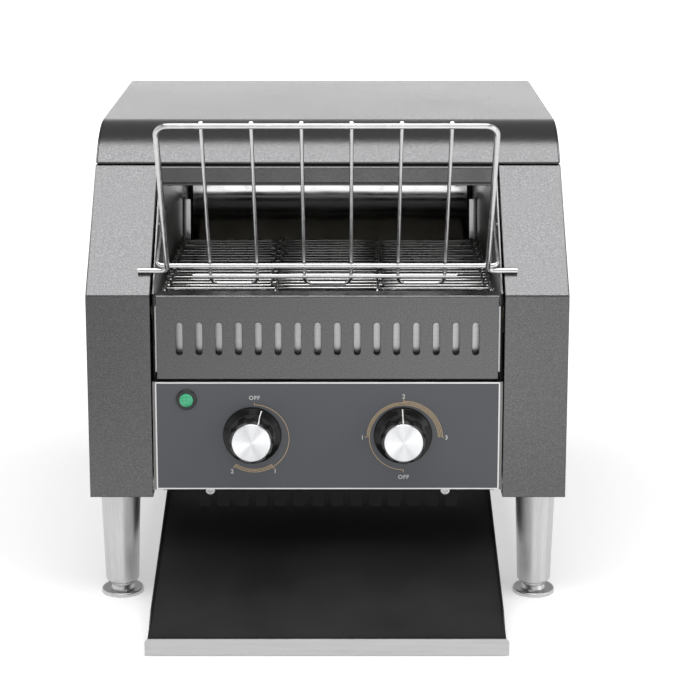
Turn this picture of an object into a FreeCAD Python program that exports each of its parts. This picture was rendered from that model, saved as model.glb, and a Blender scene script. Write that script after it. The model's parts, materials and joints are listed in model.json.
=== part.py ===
import FreeCAD, Part
import os, math
from FreeCAD import Vector as V

# Countertop conveyor toaster, millimetres, +Z up, front towards -Y.
# Origin: middle of the overall box in X and Y, on the table in Z.
os.makedirs("parts", exist_ok=True)

# ---------------------------------------------------------------- driving sizes
WIDTH = 368.0            # over both side panels
HALF = WIDTH / 2
BODY_DEPTH = 375.0       # front face of the posts to the rear panel
LIP_REACH = 102.9        # exit tray lip in front of the posts
GLAND_REACH = 12.0       # cable gland behind the rear panel
Z_BODY = 86.0            # underside of the housing
Z_FOLD = 246.0           # vertical front turns into the slope here
SLOPE_D, SLOPE_Z = 83.53, 331.81   # top of the slope (depth, height)
Z_ROOF = 360.0
ROLL_R = 76.0            # big roll at the front of the roof
T = 1.2                  # outer sheet
TI = 1.0                 # inner sheet
POST_IN = 135.3          # inner edge of the front posts
WALL_X = 133.0           # inner face of the tunnel walls
YF = -(BODY_DEPTH + GLAND_REACH + LIP_REACH) / 2 + LIP_REACH   # y of the front face

BELT_P = 9.6             # belt pitch
BELT_N = 49              # strands
SPR_TEETH = 12
BELT_R = SPR_TEETH * BELT_P / (2 * math.pi)
BELT_Z = 240.9           # centre of the top strands
AX_Z = BELT_Z - BELT_R   # both shafts
AX_F = 45.0              # idler shaft depth
AX_R = AX_F + (BELT_N - SPR_TEETH) * BELT_P / 2   # drive shaft depth
STRAND_R = 1.1

LEG_X, LEG_DF, LEG_DR = 163.0, 24.0, 345.0
KNOB_X, KNOB_Z = 58.0, 136.4
LAMP_X, LAMP_Z = -108.3, 165.0

parts = {}


def y(d):
    return d + YF


# ---------------------------------------------------------------- small helpers
def box(x0, x1, d0, d1, z0, z1):
    return Part.makeBox(x1 - x0, d1 - d0, z1 - z0, V(x0, y(d0), z0))


def cx(x0, x1, d, z, r):
    return Part.makeCylinder(r, x1 - x0, V(x0, y(d), z), V(1, 0, 0))


def cy(d0, d1, x, z, r):
    return Part.makeCylinder(r, d1 - d0, V(x, y(d0), z), V(0, 1, 0))


def cz(z0, z1, x, d, r):
    return Part.makeCylinder(r, z1 - z0, V(x, y(d), z0), V(0, 0, 1))


def fuse(shapes):
    s = shapes[0]
    if len(shapes) > 1:
        s = s.multiFuse(list(shapes[1:]))
    try:
        s = s.removeSplitter()
    except Exception:
        pass
    return s


def poly_x(pts, x0, x1):
    p = [V(x0, y(a), b) for a, b in pts]
    f = Part.Face(Part.makePolygon(p + [p[0]]))
    return f.extrude(V(x1 - x0, 0, 0))


def poly_y(pts, d0, d1):
    p = [V(a, y(d0), b) for a, b in pts]
    f = Part.Face(Part.makePolygon(p + [p[0]]))
    return f.extrude(V(0, d1 - d0, 0))


def poly_z(pts, z0, z1):
    p = [V(a, y(b), z0) for a, b in pts]
    f = Part.Face(Part.makePolygon(p + [p[0]]))
    return f.extrude(V(0, 0, z1 - z0))


def slot_y(x, z, w, h, d0, d1):
    # upright slot with round ends, cut along Y
    r = w / 2
    s = box(x - r, x + r, d0, d1, z - h / 2 + r, z + h / 2 - r)
    return s.fuse([cy(d0, d1, x, z - h / 2 + r, r), cy(d0, d1, x, z + h / 2 - r, r)])


def slot_x(d, z, w, h, x0, x1):
    r = w / 2
    s = box(x0, x1, d - r, d + r, z - h / 2 + r, z + h / 2 - r)
    return s.fuse([cx(x0, x1, d, z - h / 2 + r, r), cx(x0, x1, d, z + h / 2 - r, r)])


def centreline(pts):
    # pts: (a, b, r) -> list of ('L', p, q) and ('A', p, m, q, centre, r, turn)
    n = len(pts)
    segs = []
    prev = (pts[0][0], pts[0][1])
    for i in range(1, n - 1):
        ax, ay = pts[i - 1][:2]
        bx, by = pts[i][:2]
        qx, qy = pts[i + 1][:2]
        r = pts[i][2]
        u = (bx - ax, by - ay)
        w = (qx - bx, qy - by)
        lu, lw = math.hypot(*u), math.hypot(*w)
        u = (u[0] / lu, u[1] / lu)
        w = (w[0] / lw, w[1] / lw)
        turn = math.atan2(u[0] * w[1] - u[1] * w[0], u[0] * w[0] + u[1] * w[1])
        tl = r * math.tan(abs(turn) / 2)
        p = (bx - u[0] * tl, by - u[1] * tl)
        q = (bx + w[0] * tl, by + w[1] * tl)
        s = 1 if turn > 0 else -1
        c = (p[0] - u[1] * r * s, p[1] + u[0] * r * s)
        mx, my = bx - c[0], by - c[1]
        lm = math.hypot(mx, my)
        m = (c[0] + mx / lm * r, c[1] + my / lm * r)
        segs.append(('L', prev, p))
        segs.append(('A', p, m, q, c, r, s))
        prev = q
    segs.append(('L', prev, (pts[-1][0], pts[-1][1])))
    return segs


def offset_edges(segs, off, to3):
    out = []
    for s in segs:
        if s[0] == 'L':
            (ax, ay), (bx, by) = s[1], s[2]
            l = math.hypot(bx - ax, by - ay)
            if l < 1e-6:
                continue
            nx, ny = -(by - ay) / l * off, (bx - ax) / l * off
            out.append(Part.LineSegment(to3(ax + nx, ay + ny), to3(bx + nx, by + ny)).toShape())
        else:
            c, r, sg = s[4], s[5], s[6]
            rr = r - sg * off
            f = rr / r
            g = [to3(c[0] + (p[0] - c[0]) * f, c[1] + (p[1] - c[1]) * f) for p in (s[1], s[2], s[3])]
            out.append(Part.Arc(*g).toShape())
    return out


def strip_face(pts, t, to3):
    segs = centreline(pts)
    a = offset_edges(segs, t / 2, to3)
    b = offset_edges(segs, -t / 2, to3)
    a0 = a[0].valueAt(a[0].FirstParameter)
    a1 = a[-1].valueAt(a[-1].LastParameter)
    b0 = b[0].valueAt(b[0].FirstParameter)
    b1 = b[-1].valueAt(b[-1].LastParameter)
    edges = a + [Part.LineSegment(a1, b1).toShape()] + b[::-1] + [Part.LineSegment(b0, a0).toShape()]
    w = Part.Wire(Part.__sortEdges__(edges))
    return Part.Face(w)


def strip_x(pts, t, x0, x1):
    # bent sheet, profile in (depth, height), run along X
    f = strip_face(pts, t, lambda a, b: V(x0, y(a), b))
    return f.extrude(V(x1 - x0, 0, 0))


def rod(pts, r, bend):
    # round wire through 3-D points (x, depth, z) with tangent arcs
    P = [V(a, y(b), c) for a, b, c in pts]
    edges = []
    prev = P[0]
    for i in range(1, len(P) - 1):
        br = bend[i - 1] if isinstance(bend, (list, tuple)) else bend
        u = (P[i] - P[i - 1]); u.normalize()
        w = (P[i + 1] - P[i]); w.normalize()
        ang = u.getAngle(w)
        tl = br * math.tan(ang / 2)
        p, q = P[i] - u * tl, P[i] + w * tl
        bis = (w - u); bis.normalize()
        c = P[i] + bis * (br / math.cos(ang / 2))
        m = c - bis * br
        edges.append(Part.LineSegment(prev, p).toShape())
        edges.append(Part.Arc(p, m, q).toShape())
        prev = q
    edges.append(Part.LineSegment(prev, P[-1]).toShape())
    path = Part.Wire(edges)
    d0 = P[1] - P[0]
    prof = Part.Wire(Part.makeCircle(r, P[0], d0))
    return path.makePipeShell([prof], True, False)


def screw_y(x, z, d_face, r=3.4, h=2.0, shank=8.0, toward=-1):
    # pan head proud of a face, shank into it; toward -1 is a head to the front
    d0 = d_face - h if toward < 0 else d_face
    head = cy(d0, d0 + h, x, z, r)
    e = [e for e in head.Edges if abs(e.CenterOfMass.y - y(d_face - h if toward < 0 else d_face + h)) < 1e-6
         and e.Curve.TypeId == 'Part::GeomCircle']
    head = head.makeFillet(h * 0.6, e[:1])
    cross = box(x - 0.5, x + 0.5, d0 - 1, d0 + h + 1, z - 2, z + 2).fuse(
        box(x - 2, x + 2, d0 - 1, d0 + h + 1, z - 0.5, z + 0.5))
    dd = (d0 - 1, d0 + h * 0.55) if toward < 0 else (d0 + h * 0.45, d0 + h + 1)
    cross = cross.common(box(x - 3, x + 3, dd[0], dd[1], z - 3, z + 3))
    head = head.cut(cross)
    sh = cy(d_face, d_face + shank, x, z, 1.5) if toward < 0 else cy(d_face - shank, d_face, x, z, 1.5)
    return head.fuse(sh)


def screw_x(d, z, x_face, side, r=3.4, h=2.0, shank=8.0):
    # side +1: head beyond +X face
    s = screw_y(0, 0, 0, r, h, shank, -1)      # head towards -Y at (0, y(0), 0)
    s.translate(V(0, -YF, 0))
    s.rotate(V(0, 0, 0), V(0, 0, 1), 90 if side > 0 else -90)
    s.translate(V(x_face, y(d), z))
    return s


def screw_z(x, d, z_face, down=True, r=3.4, h=2.0, shank=8.0):
    s = screw_y(0, 0, 0, r, h, shank, -1)
    s.translate(V(0, -YF, 0))
    s.rotate(V(0, 0, 0), V(1, 0, 0), 90 if down else -90)
    s.translate(V(x, y(d), z_face))
    return s


def mirror(s):
    return s.mirror(V(0, 0, 0), V(1, 0, 0))


def add(name, shape):
    if isinstance(shape, (list, tuple)):
        shape = Part.makeCompound(list(shape))
    sol = shape.Solids
    ok = all(q.isValid() and q.Volume > 0 for q in sol)
    if not sol or not ok:
        print("BAD", name, len(sol), [round(q.Volume, 1) for q in sol][:5], shape.isValid())
    if len(sol) == 1:
        shape = sol[0]
    else:
        shape = Part.makeCompound(sol)
    parts[name] = shape


SD, SZ = SLOPE_D, SLOPE_Z
sl = math.hypot(SD, SZ - Z_FOLD)
SU = (SD / sl, (SZ - Z_FOLD) / sl)            # up the slope (depth, height)
SN = (-SU[1], SU[0])                          # out of the slope, to the front and up


def on_slope(zz, out=0.0):
    t = (zz - Z_FOLD) / SU[1]
    return (t * SU[0] + SN[0] * out, zz + SN[1] * out)


# ================================================================ outer housing
def side_panel(with_fan):
    # built on the +X side, mirrored for the left
    outer = [(0, Z_BODY), (0, Z_FOLD), (SD, SZ), (SD + 0.4, SZ + 0.3), (BODY_DEPTH - T, SZ + 0.3),
             (BODY_DEPTH - T, Z_BODY)]
    wall = poly_x(outer, HALF - T, HALF)
    front = strip_x([(T / 2, Z_BODY, 0), (T / 2, Z_FOLD + T * 0.22, 2.2),
                     (SD + SU[0] * 0.4 - SN[0] * T / 2, SZ + SU[1] * 0.4 - SN[1] * T / 2, 0)], T, POST_IN, HALF - T * 0.5)
    # inner return of the front and the slope
    def inner_pt(a, b, off):
        return a, b
    off = 11.0
    k = math.tan(math.atan2(SU[0], SU[1]) / 2)
    ret = poly_x([(T * 0.5, Z_BODY + 2 * T + 0.1), (T * 0.5, Z_FOLD), (SD - SN[0] * T * 0.5, SZ - SN[1] * T * 0.5),
                  (SD - SN[0] * off, SZ - SN[1] * off), (off, Z_FOLD - off * k), (off, Z_BODY + 2 * T + 0.1)],
                 POST_IN, POST_IN + T)
    rear = box(HALF - 13, HALF - T * 0.5, BODY_DEPTH - 2 * T, BODY_DEPTH - T, Z_BODY + 3, SZ - 1)
    bottom = box(HALF - 13, HALF - T * 0.5, T * 0.5, BODY_DEPTH - T, Z_BODY, Z_BODY + T)
    bottom2 = box(POST_IN, HALF - T * 0.5, T * 0.5, 12, Z_BODY, Z_BODY + T)
    top = box(HALF - 11, HALF - T * 0.5, SD + 16, BODY_DEPTH - 2 * T, SZ + 0.3 - T, SZ + 0.3)
    s = fuse([wall, front, ret, rear, bottom, bottom2, top])
    cuts = []
    for i in range(13):
        cuts.append(slot_x(112 + i * 18.0, 292.0, 5.2, 26.0, HALF - 5, HALF + 5))
    for i in range(7):
        cuts.append(slot_x(232 + i * 15.0, 138.0, 5.2, 46.0, HALF - 5, HALF + 5))
    s = s.cut(cuts)
    return s


right_panel = side_panel(False)
left_panel = mirror(side_panel(True))
add("right_side_panel", right_panel)
add("left_side_panel", left_panel)

# roof cover: front roll, lip return, side and rear flanges
ROOF_V = SD + 1.2 + (Z_ROOF - (SZ + 1.3)) / SU[1] * SU[0]      # where slope line meets the roof plane
h = T / 2
lip = (SD + 1.2 - SN[0] * h, SZ + 1.3 - SN[1] * h)
roof_path = [(lip[0] + 13.0, lip[1] + 0.2, 0), (lip[0] + 0.3, lip[1] + 0.2, 0.8),
             (ROOF_V + h * 0.43, Z_ROOF - h, ROLL_R - h),
             (BODY_DEPTH - h, Z_ROOF - h, 2.4), (BODY_DEPTH - h, SZ + 2.2, 0)]
roof_sheet = strip_x(roof_path, T, -HALF + T + 0.02, HALF - T - 0.02)
# side flange: area under the roof line
segs = centreline([(lip[0] - SN[0] * -h, SZ + 2.2, 0)] + [(SD + 1.2, SZ + 2.2, 0.01)] * 0 +
                  [(ROOF_V, Z_ROOF, ROLL_R), (BODY_DEPTH, Z_ROOF, 3.0), (BODY_DEPTH, SZ + 2.2, 0)])


def roof_flange(x0, x1):
    e = offset_edges(segs, 0.0, lambda a, b: V(x0, y(a), b))
    p0 = e[0].valueAt(e[0].FirstParameter)
    p1 = e[-1].valueAt(e[-1].LastParameter)
    e.append(Part.LineSegment(p1, p0).toShape())
    return Part.Face(Part.Wire(Part.__sortEdges__(e))).extrude(V(x1 - x0, 0, 0))


add("roof_cover", [roof_sheet, roof_flange(-HALF, -HALF + T), roof_flange(HALF - T, HALF)])

# rear panel with louvre slots, fan window, gland hole and crumb tray slot
rear = box(-HALF + 0.1, HALF - 0.1, BODY_DEPTH - T, BODY_DEPTH, Z_BODY + 0.2, SZ + 1.2)
cuts = []
for i in range(15):
    cuts.append(slot_y(-105 + i * 15.0, 300.0, 5.2, 30.0, BODY_DEPTH - 5, BODY_DEPTH + 5))
for i in range(15):
    cuts.append(slot_y(-105 + i * 15.0, 250.0, 5.2, 30.0, BODY_DEPTH - 5, BODY_DEPTH + 5))
for i in range(9):
    cuts.append(slot_y(-60 + i * 15.0, 165.0, 5.2, 40.0, BODY_DEPTH - 5, BODY_DEPTH + 5))
cuts.append(box(-121.5, 121.5, BODY_DEPTH - 5, BODY_DEPTH + 5, Z_BODY + 2.45, Z_BODY + 16.5))
GLX, GLZ = -152.0, 122.0
cuts.append(cy(BODY_DEPTH - 5, BODY_DEPTH + 5, GLX, GLZ, 8.0))
rear = rear.cut(cuts)
add("rear_panel", rear)

# base pan: both side strips and the rear floor; the front middle is the exit
bz0, bz1 = Z_BODY + T, Z_BODY + 2 * T
base = fuse([box(-HALF + T + 0.1, -135.2, T + 0.1, BODY_DEPTH - 2 * T - 0.1, bz0, bz1),
             box(135.2, HALF - T - 0.1, T + 0.1, BODY_DEPTH - 2 * T - 0.1, bz0, bz1),
             box(-136.2, 136.2, 126.0, BODY_DEPTH - 2 * T - 0.1, bz0, bz1),
             box(-135.2, -134.2, T + 12, BODY_DEPTH - 2 * T - 0.1, bz0, bz0 + 14.0),
             box(134.2, 135.2, T + 12, BODY_DEPTH - 2 * T - 0.1, bz0, bz0 + 14.0),
             box(-132.7, 132.7, 126.0, 127.0, bz0, bz0 + 8.0),
             # runners of the crumb tray
             box(-123.0, -121.0, 150.0, 372.0, bz1 - 0.2, 100.0), box(121.0, 123.0, 150.0, 372.0, bz1 - 0.2, 100.0)])
leg_holes = [cz(bz0 - 5, bz1 + 5, sx * LEG_X, d, 4.1) for sx in (-1, 1) for d in (LEG_DF, LEG_DR)]
base = base.cut(leg_holes)
for nm in ("right_side_panel", "left_side_panel"):
    parts[nm] = fuse([parts[nm].cut(leg_holes)])
add("base_pan", base)


# tunnel walls
def inner_wall():
    a, b = on_slope(252.0, -6.0)
    c, e = on_slope(326.0, -6.0)
    pts = [(9.0, 102.0), (9.0, 246.0), (a + 2, b), (c, e), (c + 2.5, 331.6), (101.5, 331.6), (104.0, 344.0), (368.0, 344.0), (368.0, 90.0),
           (128.0, 90.0), (100.0, 102.0)]
    w = poly_x(pts, WALL_X, WALL_X + TI)
    # rolled top flange
    w = fuse([w, box(WALL_X, WALL_X + 9, 106.0, 366.0, 343.0, 344.0)])
    holes = [cx(WALL_X - 3, WALL_X + 3, AX_F, AX_Z, 8.05), cx(WALL_X - 3, WALL_X + 3, AX_R, AX_Z, 8.05)]
    for d in HEAT_U:
        holes.append(cx(WALL_X - 3, WALL_X + 3, d, HZ_U, 5.05))
    for d in HEAT_L:
        holes.append(cx(WALL_X - 3, WALL_X + 3, d, HZ_L, 5.05))
    return w.cut(holes)


HEAT_U, HZ_U = (168.0, 200.0, 232.0), 304.0
HEAT_L, HZ_L = (88.0, 133.0, 178.0), 226.0
wall = inner_wall()
# stud that carries the hook of the bread rack, welded to the wall
stud = fuse([cx(127.5, WALL_X - 0.02, 64.0, 286.6, 2.5), cx(WALL_X - 0.9, WALL_X - 0.02, 64.0, 286.6, 3.6)])
add("right_inner_wall", [wall, stud])
add("left_inner_wall", [mirror(wall), mirror(stud)])

# front vent panel, 16 upright slots
VW = 130.5
vp = fuse([box(-VW, VW, 0.2, 0.2 + T, 181.0, 245.6),
           strip_x([(0.8, 244.0, 0), (0.8, 246.2, 1.4), (19.0, 245.4, 1.6), (23.0, 240.2, 0)], T, -VW, VW),
           strip_x([(8.0, 181.4, 0), (0.8, 181.4, 1.4), (0.8, 188.0, 0)], T, -VW, VW),
           box(-VW, -VW + T, 0.8, 8.0, 182.2, 244.6), box(VW - T, VW, 0.8, 8.0, 182.2, 244.6)])
vp = vp.cut([slot_y(-113.2 + i * 15.093, 212.7, 5.2, 25.6, -3, 4) for i in range(16)])
add("front_vent_panel", vp)

# bright shield behind the vents
add("front_heat_shield", fuse([box(-132.6, 132.6, 9.0, 9.8, 184.2, 236.0),
                               box(-132.6, -131.8, 9.7, 24.0, 184.2, 236.0), box(131.8, 132.6, 9.7, 24.0, 184.2, 236.0)]))

# crossbar under the roof lip: one folded sheet with a stepped lower edge
cb = strip_x([(96.0, 331.2, 0), (80.6, 331.2, 1.2), (80.6, 318.4, 1.4), (91.0, 318.4, 1.0), (91.0, 314.6, 0)], T, -132.4, 132.4)
add("front_crossbar", cb)

# ================================================================ control box
# front plate, floor, ceiling, rear wall
cbx = fuse([box(-134.3, 134.3, 0.2, 1.2, 92.4, 178.8),
            box(-132.8, 132.8, 0.7, 62.0, 94.4, 95.4),
            box(-100.0, 100.0, 5.3, 6.3, 88.6, 94.9),
            box(-132.8, 132.8, 0.7, 62.0, 177.8, 178.8),
            box(-132.8, 132.8, 61.0, 62.0, 94.4, 178.8),
            box(-134.3, -133.3, 0.7, 8.8, 103.0, 177.0), box(133.3, 134.3, 0.7, 8.8, 103.0, 177.0)])
holes = [cy(-5, 5, -KNOB_X, KNOB_Z, 5.2), cy(-5, 5, KNOB_X, KNOB_Z, 5.2), cy(-5, 5, LAMP_X, LAMP_Z, 6.2)]
add("control_box", cbx.cut(holes + [cy(3, 9, sx * 91.0, 90.4, 1.5) for sx in (-1, 1)]))
plate = box(-132.3, 132.3, -0.8, 0.2, 92.7, 178.7)
plate = plate.makeFillet(1.0, [e for e in plate.Edges if abs(e.Length - 1.0) < 1e-6]).cut(holes)
add("control_panel_plate", plate)
fascia = box(-131.2, 131.2, -1.1, -0.8, 93.9, 177.5)
add("control_fascia", fascia.cut(holes))

# indicator lamp
bez = cy(-3.0, -1.1, LAMP_X, LAMP_Z, 7.9)
bez = bez.makeFillet(1.0, [e for e in bez.Edges if abs(e.CenterOfMass.y - y(-3.0)) < 1e-6 and e.Curve.TypeId == 'Part::GeomCircle'])
bez = fuse([bez, cy(-1.2, 20.0, LAMP_X, LAMP_Z, 6.1)]).cut(cy(-4, 14.0, LAMP_X, LAMP_Z, 5.3))
add("lamp_bezel", bez)
lens = fuse([cy(-3.4, 10.0, LAMP_X, LAMP_Z, 5.2), Part.makeSphere(9.0, V(LAMP_X, y(4.0), LAMP_Z)).common(
    cy(-6.0, -3.3, LAMP_X, LAMP_Z, 5.2))])
add("lamp_lens", lens)


# knobs: skirt, fluted grip, metal cap, pointer line
def knob(x, z, ang):
    yb = -1.5
    skirt = Part.makeCone(22.6, 21.8, 2.6, V(x, y(yb), z), V(0, -1, 0))
    dome = Part.makeCone(21.8, 17.9, 2.2, V(x, y(yb - 2.6), z), V(0, -1, 0))
    grip = fuse([Part.makeCone(17.6, 17.1, 12.8, V(x, y(yb - 4.8), z), V(0, -1, 0)),
                 Part.makeCone(17.1, 16.4, 0.8, V(x, y(yb - 17.6), z), V(0, -1, 0))])
    g = []
    for k in range(8):
        a = math.radians(ang + 22.5 + 45 * k)
        g.append(cy(yb - 18.5, yb - 6.6, x + math.sin(a) * 21.5, z + math.cos(a) * 21.5, 6.0))
    grip = grip.cut(g)
    s = fuse([skirt, dome, grip])
    s = s.cut(cy(yb - 14.0, yb + 1, x, z, 3.05))        # blind bore for the spindle
    s = s.cut(cy(yb - 19.5, yb - 17.6, x, z, 14.75))    # seat for the cap
    return s


def knob_cap(x, z):
    yb = -1.5
    c = cy(yb - 19.4, yb - 17.6, x, z, 14.7)
    e = [e for e in c.Edges if abs(e.CenterOfMass.y - y(yb - 19.4)) < 1e-6 and e.Curve.TypeId == 'Part::GeomCircle']
    return c.makeFillet(0.6, e)


add("speed_knob", knob(-KNOB_X, KNOB_Z, 18.0))
add("speed_knob_cap", knob_cap(-KNOB_X, KNOB_Z))
add("function_knob", knob(KNOB_X, KNOB_Z, 0.0))
add("function_knob_cap", knob_cap(KNOB_X, KNOB_Z))
for nm, sx in (("speed_knob_spindle", -1), ("function_knob_spindle", 1)):
    add(nm, cy(-15.4, 14.0, sx * KNOB_X, KNOB_Z, 3.0))
# control bodies behind the panel
add("speed_control_body", fuse([cy(1.3, 6.0, -KNOB_X, KNOB_Z, 12.0), cy(6.0, 26.0, -KNOB_X, KNOB_Z, 20.0),
                                box(-KNOB_X - 12, -KNOB_X + 12, 26.0, 32.0, KNOB_Z - 6, KNOB_Z + 6)]).cut(
    cy(1.0, 15.0, -KNOB_X, KNOB_Z, 3.1)))
add("function_switch_body", fuse([cy(1.3, 6.0, KNOB_X, KNOB_Z, 12.0),
                                  box(KNOB_X - 19, KNOB_X + 19, 6.0, 34.0, KNOB_Z - 19, KNOB_Z + 19),
                                  box(KNOB_X - 14, KNOB_X + 14, 34.0, 42.0, KNOB_Z - 14, KNOB_Z + 14)]).cut(
    cy(1.0, 15.0, KNOB_X, KNOB_Z, 3.1)))

# finger comb under the control box
pitch, tooth = 14.75, 9.7
x0 = -(13 * pitch + tooth) / 2
comb = box(x0, -x0, 4.0, 5.2, 77.2, 94.3)
gaps = []
for i in range(13):
    gx = x0 + tooth + i * pitch
    gaps.append(box(gx, gx + pitch - tooth, 0, 9, 70, 85.5).fuse(cy(0, 9, gx + (pitch - tooth) / 2, 85.5, (pitch - tooth) / 2)))
comb = comb.cut(gaps)
comb = comb.cut([cy(0, 9, sx * 91.0, 90.4, 1.55) for sx in (-1, 1)])
ee = [e for e in comb.Edges if abs(e.Length - T) < 1e-4 and abs(e.CenterOfMass.z - 77.2) < 1e-4]
comb = comb.makeFillet(1.6, ee)
add("finger_comb", comb)
comb_screws = [screw_y(sx * 91.0, 90.4, 4.0, r=3.7, h=2.0, shank=5.0) for sx in (-1, 1)]

# ================================================================ heating and deflectors
heat = []
for d in HEAT_U:
    heat.append(cx(-149.0, 149.0, d, HZ_U, 3.25))
for d in HEAT_L:
    heat.append(cx(-149.0, 149.0, d, HZ_L, 3.25))
add("heater_tubes", heat)
ins = []
for d, zz in [(d, HZ_U) for d in HEAT_U] + [(d, HZ_L) for d in HEAT_L]:
    for sx in (-1, 1):
        a0, a1 = sorted((sx * (WALL_X - 1.0), sx * (WALL_X + TI + 4.0)))
        b0, b1 = sorted((sx * (WALL_X + TI), sx * (WALL_X + TI + 4.0)))
        ins.append(fuse([cx(a0, a1, d, zz, 5.0), cx(b0, b1, d, zz, 7.0)]).cut(cx(a0 - 1, a1 + 1, d, zz, 3.3)))
add("heater_insulators", ins)

add("upper_reflector", strip_x([(104.0, 317.6, 0), (104.0, 314.0, 1.6), (238.0, 314.0, 3), (248.0, 298.0, 0)], 0.8, -132.2, 132.2))
add("insulation_pad", box(-126.0, 126.0, 112.0, 356.0, 318.0, 338.0))
add("lower_reflector", strip_x([(70.0, 222.0, 0), (74.0, 214.0, 3), (192.0, 214.0, 3), (196.0, 222.0, 0)], 0.8, -132.2, 132.2))

DC, DR_ = (235.0, 282.4), 87.0


def arc_pt(th, r=DR_):
    a = math.radians(th)
    return (DC[0] + r * math.cos(a), DC[1] - r * math.sin(a))


def arc_sheet(t0, t1, thick, x0, x1):
    to3 = lambda a, b: V(x0, y(a), b)
    ro, ri = DR_ + thick, DR_
    p = [arc_pt(t, ri) for t in (t0, (t0 + t1) / 2, t1)]
    q = [arc_pt(t, ro) for t in (t1, (t0 + t1) / 2, t0)]
    e = [Part.Arc(*[to3(*k) for k in p]).toShape(), Part.LineSegment(to3(*p[2]), to3(*q[0])).toShape(),
         Part.Arc(*[to3(*k) for k in q]).toShape(), Part.LineSegment(to3(*q[2]), to3(*p[0])).toShape()]
    return Part.Face(Part.Wire(e)).extrude(V(x1 - x0, 0, 0))


tail = [arc_pt(60.0), arc_pt(60.0, DR_ + 0.8)]
tail = [tail[0], (tail[0][0] - 22.5, tail[0][1] - 13.0), (tail[1][0] - 22.5, tail[1][1] - 13.0), tail[1]]
add("rear_deflector", fuse([arc_sheet(-14.0, 60.0, 0.8, -125.0, 125.0), poly_x(tail, -125.0, 125.0)]))
brk = []
for sx in (-1, 1):
    # strip between the deflector and the tunnel wall, leaning back, its corner rolled round to the wall
    f = strip_face([(sx * 126.0, 292.4, 0), (sx * 132.5, 292.4, 3.4), (sx * 132.5, 306.0, 0)], 0.8, lambda a, b: V(a, y(b), 215.0))
    brk.append(f.extrude(V(0, 7.5, 47.0)))
add("deflector_brackets", brk)

# return chute: straight slide from the deflector down to the exit tray, with crumb slots
ca, cb_ = (270.6, 189.6), (90.0, 77.6)
cl = math.hypot(ca[0] - cb_[0], ca[1] - cb_[1])
cu = ((ca[0] - cb_[0]) / cl, (ca[1] - cb_[1]) / cl)
chute = strip_x([(ca[0] + cu[1] * 0, ca[1], 0), (cb_[0], cb_[1], 3.0), (cb_[0] - 4.0, cb_[1] - 1.0, 0)], 0.8, -129.0, 129.0)
fl = []
for sx in (-1, 1):
    p = [(cb_[0] + cu[0] * 4, cb_[1] + cu[1] * 4), (ca[0], ca[1]), (ca[0] - 3.0, ca[1] + 9.0),
         (cb_[0] + cu[0] * 4 - 4.4, cb_[1] + cu[1] * 4 + 7.0)]
    a0, a1 = sorted((sx * 129.0, sx * 129.8))
    fl.append(poly_x([(a, b - 0.3) for a, b in p], a0, a1))
chute = fuse([chute] + fl)
cutters = []
ang = math.degrees(math.atan2(cu[1], cu[0]))
for j in range(5):
    for i in range(9):
        s = 60.0 + j * 30.0
        px, pz = cb_[0] + cu[0] * s, cb_[1] + cu[1] * s
        c = box(-3 + (-100 + i * 25), 3 + (-100 + i * 25), px - 9, px + 9, pz - 4, pz + 4)
        c.rotate(V(0, y(px), pz), V(1, 0, 0), ang)
        cutters.append(c)
chute = chute.cut(cutters)
add("return_chute", chute)

# ================================================================ conveyor
strands = []
Lh = (BELT_N - SPR_TEETH) * BELT_P / 2        # straight run


def belt_pos(s):
    s = s % (BELT_N * BELT_P)
    if s < Lh:
        return (AX_F + s, BELT_Z)
    s -= Lh
    arc = math.pi * BELT_R
    if s < arc:
        a = s / BELT_R
        return (AX_R + BELT_R * math.sin(a), AX_Z + BELT_R * math.cos(a))
    s -= arc
    if s < Lh:
        return (AX_R - s, AX_Z - BELT_R)
    a = (s - Lh) / BELT_R
    return (AX_F - BELT_R * math.sin(a), AX_Z - BELT_R * math.cos(a))


for i in range(BELT_N):
    d, zz = belt_pos(i * BELT_P + 2.0)
    strands.append(cx(-129.0, 129.0, d, zz, STRAND_R))


def race(r_in, r_out, x0, x1):
    def loop(r):
        e = [Part.LineSegment(V(x0, y(AX_F), AX_Z + r), V(x0, y(AX_R), AX_Z + r)).toShape(),
             Part.Arc(V(x0, y(AX_R), AX_Z + r), V(x0, y(AX_R + r), AX_Z), V(x0, y(AX_R), AX_Z - r)).toShape(),
             Part.LineSegment(V(x0, y(AX_R), AX_Z - r), V(x0, y(AX_F), AX_Z - r)).toShape(),
             Part.Arc(V(x0, y(AX_F), AX_Z - r), V(x0, y(AX_F - r), AX_Z), V(x0, y(AX_F), AX_Z + r)).toShape()]
        return Part.Face(Part.Wire(e)).extrude(V(x1 - x0, 0, 0))
    return loop(r_out).cut(loop(r_in))


links = [race(BELT_R - 0.5, BELT_R + 0.5, a - 1.0, a + 1.0) for a in (-126.5, -42.5, 42.5, 126.5)]
belt = fuse(links + strands)
add("conveyor_belt", belt)

# welded frame of rails that carries the top run
add("belt_support_frame", fuse([box(a - 1.5, a + 1.5, 66.0, 202.0, 232.5, 238.9) for a in (-112.0, -70.0, 0.0, 70.0, 112.0)] +
                               [box(-132.8, 132.8, d - 5, d + 5, 231.9, 233.0) for d in (70.5, 197.5)]))


def sprocket(d, x, r_tip, r_root, w, teeth, bore):
    pts = []
    for k in range(teeth):
        for f, r in ((-0.32, r_root), (-0.12, r_tip), (0.12, r_tip), (0.32, r_root)):
            a = 2 * math.pi * (k + f) / teeth
            pts.append((d + r * math.sin(a), AX_Z + r * math.cos(a)))
    s = poly_x(pts, x - w / 2, x + w / 2)
    hub = cx(x - w / 2 - 4, x + w / 2 + 4, d, AX_Z, 8.0)
    return fuse([s, hub]).cut(cx(x - 20, x + 20, d, AX_Z, bore))


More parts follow.
